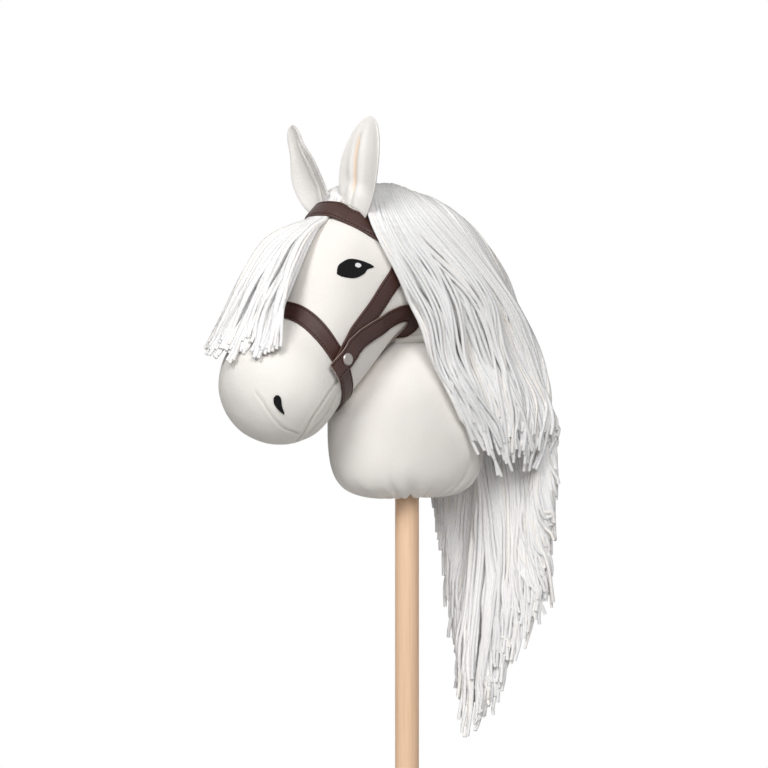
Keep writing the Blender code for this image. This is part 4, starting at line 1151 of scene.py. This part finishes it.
reins = strap_stations(mirrored_path(REIN_PATH, REIN_STEPS), head_skin.seat, rein_height, STRAP_WIDTH,
                       settle=flat_at_snap(REIN_AT_SNAP))
for side, stations in (("near", reins[:HALF_REIN + 1]), ("far", reins[HALF_REIN:][::-1])):
    bend_from, bend_to = stations[BEND_FROM][0][1], stations[BEND_TO][0][1]
    end_body = side + "_rein_end"
    for piece in finished_strap(side + "_rein", stations, None, ("rein_strap", side + "_rein_tab"),
                                edge=cut_edge):
        tuple(bend_from)
        tuple(bend_to)
        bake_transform(piece)

# %% [markdown]
# ## Snap fasteners
# Each snap is turned metal: a domed cap with a rolled edge outside the rein, and the socket, stud and post
# between the layers. The inner pieces keep their CAD shape, which is already a turning.

# %% Snap caps
CAP_SEAT = REIN_AT_SNAP + STRAP_THICKNESS + 0.0003
CAP_PROFILE = [(0.0, 1.55), (1.6, 1.62), (2.9, 1.72), (3.9, 1.74), (4.8, 1.60), (5.5, 1.30), (6.0, 0.86),
               (6.2, 0.42), (6.15, 0.16), (5.9, 0.0), (0.0, 0.0)]
cap = turned("near_snap_button", [(r * MM, CAP_SEAT + h * MM) for r, h in CAP_PROFILE], 56)
cap.transform(snap_frame)
for side in ("near", "far"):
    button = cap if side == "near" else far_twin(cap, "far_snap_button")
    finished(side + "_snap_button", button, side + "_rein_end", nickel, "satin_nickel",
             (side + "_snap_cap",), 35)
    for part in ("post", "stud", "socket"):
        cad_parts[f"{side}_snap_{part}"].data.materials[0] = nickel

# %% [markdown]
# ## Embroidery
# Eye and nostril are satin stitch: parallel threads laid side by side from edge to edge over a thin pad.
# The strand tree makes the threads, from lines that are clipped to each outline.

# %% Outlines of the embroidery
EYE_PLACE, NOSTRIL_PLACE = (-102, 71, -48), (-193, -61, -46)
EYE_OUTLINE = ((-20, -6), (-18, 2), (-11, 7), (-4, 9), (8, 7), (20, 2), (13, -1), (8, -6), (-2, -10),
               (-14, -9))
NOSTRIL_OUTLINE = ((-4.0, 6), (-1.7, 8.8), (1.4, 8.3), (3.3, 5), (3.7, 0), (4.6, -4.6), (6.2, -10),
                   (2.1, -7.2), (-1.0, -3.6), (-3.5, 1))
GLINT_OUTLINE = [(2.5 + 3.2 * math.cos(turn), 2.5 + 2.2 * math.sin(turn))
                 for turn in np.linspace(0, 2 * math.pi, 11)[:-1]]
THREAD_SPACING, THREAD_RADIUS, THREAD_ARCH, PAD_SINK = 0.40, 0.25, 0.42, 0.0006


def patch_frame(place):
    centre, normal = head_skin.seat(at(*place))
    level = UP.cross(normal).normalized()
    return centre, level, normal.cross(level)


def on_patch(axes, x, y, height):
    centre, level, upright = axes
    return head_skin.seat(centre + level * x * MM + upright * y * MM, height)[0]


def thread_lines(outline, angle):
    """Clip parallel lines to a closed outline, all in millimetres."""
    turn = np.array([[math.cos(-angle), -math.sin(-angle)], [math.sin(-angle), math.cos(-angle)]])
    shape = np.array(outline) @ turn.T
    lines = []
    for level in np.arange(shape[:, 1].min() + THREAD_SPACING / 2, shape[:, 1].max(), THREAD_SPACING):
        cuts = []
        for (x0, y0), (x1, y1) in zip(shape, np.roll(shape, -1, axis=0)):
            if (y0 - level) * (y1 - level) < 0.0:
                cuts.append(x0 + (x1 - x0) * (level - y0) / (y1 - y0))
        cuts.sort()
        ends = [np.array([cut, level]) @ turn for cut in cuts]
        lines += zip(ends[::2], ends[1::2])
    return lines


# %% Satin stitch over a thin pad
def add_pad(threads, axes, outline, base):
    form = bmesh.new()
    form.from_mesh(threads)
    heart = np.mean(outline, axis=0)
    lower = [form.verts.new(on_patch(axes, *point, base * MM - PAD_SINK)) for point in outline]
    upper = [form.verts.new(on_patch(axes, *(heart + (np.array(point) - heart) * 0.97), base * MM + 0.0001))
             for point in outline]
    hub = form.verts.new(on_patch(axes, *heart, base * MM + 0.0003))
    under = form.verts.new(on_patch(axes, *heart, base * MM - PAD_SINK))
    for index in range(len(outline)):
        after = (index + 1) % len(outline)
        form.faces.new((lower[index], lower[after], upper[after], upper[index]))
        form.faces.new((upper[index], upper[after], hub))
        form.faces.new((lower[after], lower[index], under))
    bmesh.ops.recalc_face_normals(form, faces=form.faces)
    form.to_mesh(threads)
    form.free()


def embroidery(name, place, outline, angle, base, finish):
    axes, draw = patch_frame(place), random.Random(7)
    corners = [Vector((x * MM, y * MM, 0.0)) for x, y in [*outline, outline[0]]]
    smooth = [(point.x / MM, point.y / MM) for point in smooth_path(corners, 65)][:-1]
    chains = []
    for start, end in thread_lines(smooth, angle):
        jitter = 0.25 * draw.uniform(-1, 1)
        line = []
        for step in range(7):
            share = step / 6
            x, y = start + (end - start) * share
            arch = THREAD_ARCH * math.sin(math.pi * share) ** 0.5
            line.append(on_patch(axes, x, y + jitter * 0.2, (base + arch) * MM))
        chains.append((line, [0.8] + [1.0] * 5 + [0.8], draw.random()))
    host = chain_host(name, chains)
    threads = strands_tree.grow(host, Radius=THREAD_RADIUS * MM, Sides=6, Finish=finish)
    add_pad(threads, axes, smooth, base)
    return threads


# %% Eyes and nostrils
for part, place, outline, angle, base, finish, slot in (
        ("eye", EYE_PLACE, EYE_OUTLINE, math.radians(72), 0.75, black_thread, "black_thread"),
        ("eye_glint", EYE_PLACE, GLINT_OUTLINE, math.radians(72), 1.35, white_thread, "white_thread"),
        ("nostril", NOSTRIL_PLACE, NOSTRIL_OUTLINE, math.radians(12), 0.75, black_thread, "black_thread")):
    near_part = embroidery(f"near_{part}_stitched", place, outline, angle, base, finish)
    far_part = far_twin(near_part, f"far_{part}_stitched")
    for side, mesh in (("near", near_part), ("far", far_part)):
        finished(f"{side}_{part}_stitched", mesh, "head", finish, slot, (f"{side}_{part}",))
print("embroidery: 6 patches")

# %% [markdown]
# ## Mane and forelock
# The yarn is sewn to a tape along the crest and hangs down both sides in layers. Six guide yarns on each
# side give the hair's outer face. Every yarn takes its own place between the guides, its own depth in the
# hair and its own length, and wanders a little. Neighbours draw together into locks towards their ends, as
# brushed yarn does, and each cut end is slightly thicker where its plies open.

# %% Guide yarns
CREST_PATH = ((-46, 147), (2, 142), (36, 129), (63, 104), (81, 69), (88, 27), (88, 0), (88, -44), (87, -84),
              (86, -109))
NEAR_GUIDES = (
    ((-66, 154, -23), (-80, 124, -49), (-75, 93, -57), (-59, 64, -64),
     (-32, 18, -68), (-11, -29, -70), (22, -80, -70), (52, -132, -64)),
    ((20, 143, -22), (18, 122, -56), (34, 68, -72), (54, 12, -76),
     (74, -42, -77), (92, -92, -73), (101, -128, -67)),
    ((86, 96, -18), (94, 70, -40), (104, 22, -62), (122, -34, -68),
     (140, -88, -65), (150, -124, -60), (152, -138, -56)),
    ((106, 18, -14), (121, -14, -34), (130, -62, -47), (132, -126, -53),
     (132, -192, -54), (141, -250, -55), (144, -272, -54)),
    ((104, -52, -8), (117, -80, -19), (126, -128, -28), (127, -184, -34),
     (124, -244, -38), (122, -298, -39), (120, -318, -38)),
    ((101, -120, -2), (108, -150, -4), (110, -200, -6), (104, -260, -8),
     (98, -320, -9), (92, -370, -9), (88, -394, -8)),
)
FAR_GUIDES = (
    ((-66, 154, 23), (-80, 124, 49), (-75, 93, 57), (-59, 64, 64),
     (-32, 18, 68), (-11, -29, 70), (22, -84, 70), (40, -125, 66)),
    ((20, 143, 22), (18, 122, 56), (32, 68, 72), (46, 12, 76),
     (58, -42, 77), (70, -100, 73), (76, -134, 69)),
    ((84, 96, 18), (92, 70, 40), (99, 22, 60), (102, -36, 67),
     (100, -100, 68), (97, -166, 66), (95, -222, 63)),
    ((106, 18, 14), (119, -14, 34), (122, -62, 46), (117, -126, 52),
     (110, -192, 53), (102, -256, 51), (98, -290, 48)),
    ((104, -52, 8), (116, -80, 18), (118, -128, 27), (113, -184, 31),
     (104, -250, 33), (97, -320, 31), (92, -368, 28)),
    ((101, -120, 2), (107, -150, 4), (108, -200, 7), (103, -260, 9),
     (96, -320, 10), (91, -366, 10), (88, -388, 9)),
)
FORELOCK_GUIDES = (
    ((-65, 142, 11), (-69, 148, 13), (-84, 148, 17), (-103, 131, 15),
     (-119, 116, 17), (-141, 94, 28), (-172, 47, 41), (-206, -8, 56)),
    ((-65, 143, 4), (-69, 150, 4), (-86, 150, 5), (-107, 129, 2),
     (-125, 110, 0), (-147, 82, 4), (-184, 34, 8), (-222, -18, 10)),
    ((-65, 143, -5), (-69, 149, -5), (-84, 148, -7), (-102, 131, -12),
     (-117, 118, -17), (-134, 98, -22), (-169, 48, -36), (-198, -20, -48)),
)
YARN_RADIUS = 0.0018
ROOT_SEAT = STRAP_SEAT + 0.0012 + 0.0004  # the tape's underside, the tape and a hair's breadth
GUIDE_STEPS = 40


def yarn_point(guides, along, down):
    return spline([spline(guide, down) for guide in guides], along)


def hair_depth(down, sizes):
    """How thick the hair is at a yarn's root, where it is fullest and at its tip."""
    root, full, tip, swell_start, swell_end = sizes
    if down < swell_end:
        return eased(down, root, full, swell_start, swell_end)
    return eased(down, full, tip, swell_end, 1.0)


# %% Tapes under the yarn
for name, path, count, replaced in (
        ("crest_tape", CREST_PATH, 110, "mane_tape"),
        ("brow_tape", ((-76, 144, -10), (-76, 145, 0), (-76, 144, 10)), 12, "poll_tape")):
    stations = strap_stations(traced(path, count), nearest_seat, lambda point: STRAP_SEAT, 0.010)
    finished(name, strap_mesh(name, stations, TAPE_PROFILE), "head", cotton, "cotton", (replaced,), 40)

# %% [markdown]
# Yarns near each other share a lock. A lock's yarns lean towards its middle as they go down, and the whole
# lock drifts a little to one side. Lengths differ by lock first and by yarn second, which gives the ragged
# lower edge.

# %% What is drawn at random for one yarn
LONG_YARNS, FLICKED_YARNS = 0.06, 0.4  # shares of the yarns that keep their full length or flick outwards


class Hair:
    """A bundle of yarns in layers and locks, with its habits: how loose, gathered, long and ragged it is."""

    loose, gather, longest, shortest, ragged = 1.0, 0.9, 1.0, 0.82, 0.0
    sweep = thinning = layering = slim_root = 0.0

    def __init__(self, count, depths, locks, steps, seed, **habits):
        self.count, self.depths, self.locks, self.steps, self.seed = count, depths, locks, steps, seed
        self.draw = random.Random(seed)
        for label, value in habits.items():
            setattr(self, label, value)

    def plan(self, number):
        """One yarn's place, lock, length and leanings; nothing where the hair is thinned out."""
        draw, per_layer = self.draw, self.count // len(self.depths)
        layer = min(number // per_layer, len(self.depths) - 1)
        place = ((number % per_layer) + 0.5 + draw.uniform(-0.35, 0.35)) / per_layer
        place = max(place, 0.0) ** (1.0 - 0.25 * self.sweep)
        if draw.random() < self.thinning * smooth_step((place - 0.5) / 0.2):
            return None
        shift = (layer % 2) * 0.5
        lock = int(place * self.locks + shift + draw.uniform(-0.15, 0.15))
        lock_draw = random.Random(self.seed * 977 + lock * 13 + layer * 7)
        own = SimpleNamespace(place=place, lock_middle=(lock + 0.5 - shift) / self.locks,
                              flow=0.55 * (lock - shift) + 0.4 * layer + 3.7 * self.seed)
        own.pull = self.gather * lock_draw.uniform(0.45, 0.95)
        own.lock_phase = 40.0 * lock_draw.random()
        own.lock_depth = self.loose * lock_draw.uniform(-0.30, 0.30)
        spare = 1.0 - self.shortest + self.ragged * smooth_step((place - 0.45) / 0.35)
        own.length = self.longest - spare * (0.6 * lock_draw.random() + 0.4 * draw.random())
        own.length -= self.layering * (1.0 - self.depths[layer]) * (1.0 - smooth_step((place - 0.35) / 0.3))
        if draw.random() < LONG_YARNS * self.loose:
            own.length = self.longest
        own.flick = draw.uniform(0.2, 1.0) if draw.random() < FLICKED_YARNS * self.loose else 0.0
        own.curl, own.phase = draw.uniform(-1.0, 1.0), 40.0 * draw.random()
        own.depth = self.depths[layer] + draw.uniform(-0.06, 0.06)
        return own


# %% The way of one yarn between the guides
def yarn_aside(hair, own, down, end, free):
    """Where a yarn is between the first guide and the last, as a share."""
    draws = own.pull * smooth_step((down - 0.12) / 0.88)
    along = own.place + (own.lock_middle - own.place) * draws
    along = max(along, 0.0) ** (1.0 + hair.sweep * (1.0 - smooth_step(down / 0.5)))
    for amount, phase, waves, row in ((1.5, own.flow, 2.2, 3.0), (0.55, own.lock_phase, 2.6, 3.0),
                                      (0.26, own.phase, 3.6, 1.0), (0.08 + 0.28 * end, own.phase, 9.0, 5.0)):
        along += amount / hair.locks * free * wander(phase, waves * down, row)
    along += 0.22 / hair.locks * hair.loose * own.curl * end
    return min(max(along, 0.0), 1.0)


def yarn_depth(hair, own, down, end, free):
    """How deep a yarn lies: 0 at the hair's face, 1 at its back, and less than 0 where it stands out."""
    round_off = 0.8 * (2.0 * (own.place - own.lock_middle) * hair.locks) ** 2
    depth = own.depth + own.lock_depth * smooth_step(down / 0.3)
    depth += 0.45 * hair.loose * round_off * smooth_step(down / 0.35)
    for amount, phase, waves in ((1.1, own.flow, 2.4), (0.35, own.lock_phase, 2.2), (0.18, own.phase, 4.0)):
        depth += amount * free * wander(phase, waves * down, 9.0)
    return min(max(depth - own.flick * 0.6 * end, -0.5), 1.0)


def yarn_line(hair, own, path_at):
    """One yarn's points from root to tip, its thickness at each of them, and its tone."""
    line, widths = [], []
    low = 0.35 + 0.65 * smooth_step((own.place - 0.4) / 0.25)
    for step in range(hair.steps):
        down = own.length * (step / (hair.steps - 1)) ** 1.1
        free = hair.loose * (0.20 + 0.80 * smooth_step((down - 0.16) / 0.74))
        end = smooth_step((down / own.length - 0.80) / 0.20)
        end_free = smooth_step((down / own.length - 0.45) / 0.45)
        stray = wander_freely(own.phase, 3.8 * down, 2.0) * 0.0030 * hair.loose * free
        stray += wander_freely(own.phase, 5.0 * down, 6.0) * 0.011 * hair.loose * low * end_free
        aside, depth = (place(hair, own, down, end, free) for place in (yarn_aside, yarn_depth))
        line.append(path_at(aside, down, depth, stray))
        slim = 1.0 - hair.slim_root * (1.0 - smooth_step(down / 0.22))
        widths.append(slim * (0.84 + 0.22 * smooth_step(down / 0.6) + 0.08 * end))
    onward = (line[-1] - line[-2]).normalized() * YARN_RADIUS
    tip = [line[-1] + onward * 0.35, line[-1] + onward * 0.6]
    return line + tip, widths + [0.86, 0.45], hair.draw.random()


def hang_yarns(name, path_at, replaced, hair):
    plans = (hair.plan(number) for number in range(hair.count))
    chains = [yarn_line(hair, own, path_at) for own in plans if own]
    mesh = strands_tree.grow(chain_host(name, chains), Radius=YARN_RADIUS, Sides=6, Finish=yarn)
    finished(name, mesh, "head", yarn, "white_yarn", replaced, 80)
    print(name + ":", len(chains), "yarns,", len(mesh.polygons), "faces")


# %% The mane, one side at a time
crest = traced(CREST_PATH, 60)
MANE_SIZES = (0.005, 0.014, 0.006, 0.0, 0.3)
POUF, LUMP, HAIR_CLEARANCE = 0.005, 0.008, 0.0068


def mane_path(side, guides):
    seats = [nearest_seat(spline(crest, index / (len(guides) - 1)), ROOT_SEAT + 0.005)
             for index in range(len(guides))]
    guides = [traced(guide, GUIDE_STEPS, seat[:1]) for seat, guide in zip(seats, guides)]
    crest_normals = [seat[1] for seat in seats]

    def path_at(along, down, dip, stray):
        outer = yarn_point(guides, along, down) + stray
        turn = math.pi / 2 * along
        hanging = Vector((math.sin(turn), side * math.cos(turn), 0.0))
        out = spline(crest_normals, along).lerp(hanging, smooth_step(down / 0.3)).normalized()
        pouf = POUF * math.exp(-((down - 0.08) / 0.06) ** 2) * math.exp(-((along - 0.06) / 0.05) ** 2)
        lump = wander(3.0 * along, 5.5 * down, 4.0 + side) * smooth_step((down - 0.06) / 0.2)
        depth = YARN_RADIUS - pouf - LUMP * lump
        depth += dip * max(hair_depth(down, MANE_SIZES) - 2 * YARN_RADIUS, 0.0)
        point = lifted(outer - out * depth, eased(down, ROOT_SEAT, HAIR_CLEARANCE, 0.0, 0.05) + YARN_RADIUS)
        point.y = side * max(side * point.y, YARN_RADIUS * 0.6)
        return point

    return path_at


for side_name, side, guides in (("near", -1, NEAR_GUIDES), ("far", 1, FAR_GUIDES)):
    path_at, habits = mane_path(side, guides), {"shortest": 0.80, "sweep": 0.55}
    hang_yarns(side_name + "_mane_yarn", path_at, [f"{side_name}_mane_{number}" for number in range(1, 7)],
               Hair(345, (0.0, 0.26, 0.52), 13, 42, 11 + side, gather=0.72, ragged=0.04, thinning=0.45,
                    layering=0.05, **habits))
    hang_yarns(side_name + "_mane_inside", path_at, (),
               Hair(240, (0.72, 0.9), 16, 30, 31 + side, loose=0.6, gather=0.5, ragged=0.10, thinning=0.55,
                    **habits))


# %% The lowest yarns, between the two sides
def tail_lines():
    lines = []
    for side, guides in ((-1, NEAR_GUIDES[4:]), (1, FAR_GUIDES[4:])):
        for number, guide in enumerate(guides):
            start = nearest_seat(spline(crest, 0.8 + 0.2 * number), ROOT_SEAT + 0.005)
            lines.append(traced(guide, GUIDE_STEPS, start[:1]))
    return [lines[0], lines[1], lines[3], lines[2]]


def tail_path(along, down, dip, stray):
    point = yarn_point(TAIL_LINES, 0.15 + 0.7 * along, down) + stray
    point -= Vector((0.002 + 0.012 * dip, 0.0, 0.0))
    return lifted(point, ROOT_SEAT + 2 * YARN_RADIUS)


TAIL_LINES = tail_lines()
hang_yarns("lower_mane_yarn", tail_path, (),
           Hair(96, (0.0, 0.6), 5, 44, 77, loose=0.8, longest=1.03, shortest=0.70))


# %% The forelock
FORELOCK_SIZES = (0.003, 0.016, 0.006, 0.24, 0.5)
FORELOCK_LINES = [traced(guide, GUIDE_STEPS) for guide in FORELOCK_GUIDES]
FORELOCK_CLEARANCE = 0.0012
under_browband = [row[1] for row, _ in browband[30:-30]]


def forelock_path(along, down, dip, stray):
    inner = yarn_point(FORELOCK_LINES, along, down) + stray * smooth_step((down - 0.3) / 0.2)
    depth = YARN_RADIUS * 0.6 + (1.0 - dip) * max(hair_depth(down, FORELOCK_SIZES) - 2 * YARN_RADIUS, 0.0)
    hanging = Vector((-0.80, 0.4 * (0.5 - along), 0.55)).normalized()
    free = inner + hanging * depth
    if down < 0.5:
        place, normal = head_skin.seat(inner)
        above = max((inner - place).dot(normal), FORELOCK_CLEARANCE) + depth
        under = BROWBAND_OVER_HAIR - YARN_RADIUS - 0.0003 - 0.0008 * dip
        if above > under:
            gap = min((place - spot).length for spot in under_browband)
            above = under + (above - under) * smooth_step((gap - 0.011) / 0.016)
        free = (place + normal * above).lerp(free, smooth_step((down - 0.22) / 0.22))
    return head_skin.lift(free, FORELOCK_CLEARANCE + YARN_RADIUS * 0.6)


hang_yarns("forelock_yarn", forelock_path, ("forelock_1", "forelock_2", "forelock_3"),
           Hair(168, (0.0, 0.3, 0.6, 0.9), 9, 36, 5, loose=0.5, shortest=0.88, slim_root=0.55))

# %% [markdown]
# ## Stick, sleeve and gathering cord
# The stick keeps its CAD shape, a plain turned dowel, and gets its grain. The sleeve that grips it and the
# cord that gathers the neck round it are cloth, so they are made again: the sleeve with a turned hem, the
# cord from three plies.

# %% Stick, sleeve, cord
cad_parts["stick"].data.materials[0] = pine
SLEEVE = [(0.0, 0.8412), (0.0122, 0.8412), (0.0132, 0.8404), (0.0135, 0.839), (0.0135, 0.626),
          (0.0137, 0.6245), (0.0137, 0.6215), (0.0131, 0.621), (0.0126, 0.622), (0.0125, 0.630),
          (0.0125, 0.8402), (0.0, 0.8402)]
finished("sewn_sleeve", turned("sewn_sleeve", SLEEVE, 40), "head", cotton, "cotton", ("stick_sleeve",), 50)

PLIES, TWISTS, CORD_STEPS = 3, 22, 180
CORD_RADIUS, CORD_HEIGHT, PLY_OFFSET = 0.0149, 0.6234, 0.00045
plies = []
for ply in range(PLIES):
    line = []
    for step in range(CORD_STEPS + 1):
        turn = 2 * math.pi * step / CORD_STEPS
        twist = TWISTS * turn + 2 * math.pi * ply / PLIES
        radius = CORD_RADIUS + PLY_OFFSET * math.cos(twist)
        height = CORD_HEIGHT + PLY_OFFSET * math.sin(twist)
        line.append(Vector((radius * math.cos(turn), radius * math.sin(turn), height)))
    plies.append((line, [1.0] * len(line), 0.5))
cord = strands_tree.grow(chain_host("drawn_cord", plies), Radius=0.0006, Sides=6, Finish=cotton)
finished("drawn_cord", cord, "head", cotton, "cotton", ("gather_cord",))

# %% [markdown]
# ## Floor, light and camera
# The photograph is a plain studio shot: white everywhere, soft light from above and in front, a long lens
# level with the toy. The world is white to the camera and in reflections, and dim and warm as a light.

# %% Floor and world
floor_finish = Finish("studio_floor", (0.93, 0.93, 0.93), 0.9)
floor_corners = [(-0.9, -0.9, 0), (0.9, -0.9, 0), (0.9, 0.9, 0), (-0.9, 0.9, 0)]
floor = new_object("studio_floor", mesh_from("studio_floor", floor_corners, [(0, 1, 2, 3)]))
floor.data.materials.append(floor_finish.material)
floor.location.z = -0.0005

world = bpy.data.worlds.new("studio")
bpy.context.scene.world = world
world.use_nodes = True
tree = world.node_tree
path = add_node(tree, "ShaderNodeLightPath")
seen = add_node(tree, "ShaderNodeMath", {"operation": "MAXIMUM"},
                {0: path.outputs["Is Camera Ray"], 1: path.outputs["Is Glossy Ray"]})
strength = add_node(tree, "ShaderNodeMapRange", None, {"To Min": 0.08, "To Max": 1.0, "Value": seen})
warmth = add_node(tree, "ShaderNodeMix", {"data_type": "RGBA"},
                  {"A": (1.0, 0.94, 0.87, 1.0), "B": (1.0, 1.0, 1.0, 1.0), "Factor": seen})
feed(tree, tree.nodes["Background"].inputs["Strength"], strength)
feed(tree, tree.nodes["Background"].inputs["Color"], warmth.outputs["Result"])


# %% Lamps and camera
def soft_lamp(name, place, size, watts):
    lamp = bpy.data.lights.new(name, "AREA")
    lamp.shape = "DISK"
    lamp.size, lamp.energy = size, watts
    item = new_object(name, lamp)
    item.location = place
    item.rotation_euler = (LAMP_TARGET - Vector(place)).to_track_quat("-Z", "Y").to_euler()


LAMP_TARGET = Vector((0.0, 0.0, 0.75))
soft_lamp("key", (-2.7, -1.45, 2.65), 1.5, 69)
soft_lamp("fill", (-1.25, -2.65, 2.1), 1.6, 54)
soft_lamp("front", (-3.0, 0.9, 1.6), 1.6, 10)

AZIMUTH, DISTANCE, SENSOR, PICTURE_WIDTH = math.radians(-38.0), 3.0, 36.0, 0.768
right = Vector((math.cos(AZIMUTH), math.sin(AZIMUTH), 0.0))
back = Vector((math.sin(AZIMUTH), -math.cos(AZIMUTH), 0.0))
target = Vector((0.0, 0.0, 0.733)) - right * 0.023
camera_data = bpy.data.cameras.new("camera")
camera_data.sensor_width = SENSOR
camera_data.lens = SENSOR * DISTANCE / PICTURE_WIDTH
camera = new_object("camera", camera_data)
camera.location = target + back * DISTANCE
camera.rotation_euler = (-back).to_track_quat("-Z", "Y").to_euler()
bpy.context.scene.camera = camera
bpy.context.scene.view_settings.view_transform = "Standard"

# %% [markdown]
# ## Clearing up
# The dressed toy has to stay in the space of the solid model, apart from the loose tips of the yarns,
# which stand a few millimetres proud of it. The smooth skins that the pieces were seated on are removed.

# %% Remove the smooth skins
for mesh in (head_smooth, neck_smooth):
    bpy.data.meshes.remove(mesh)
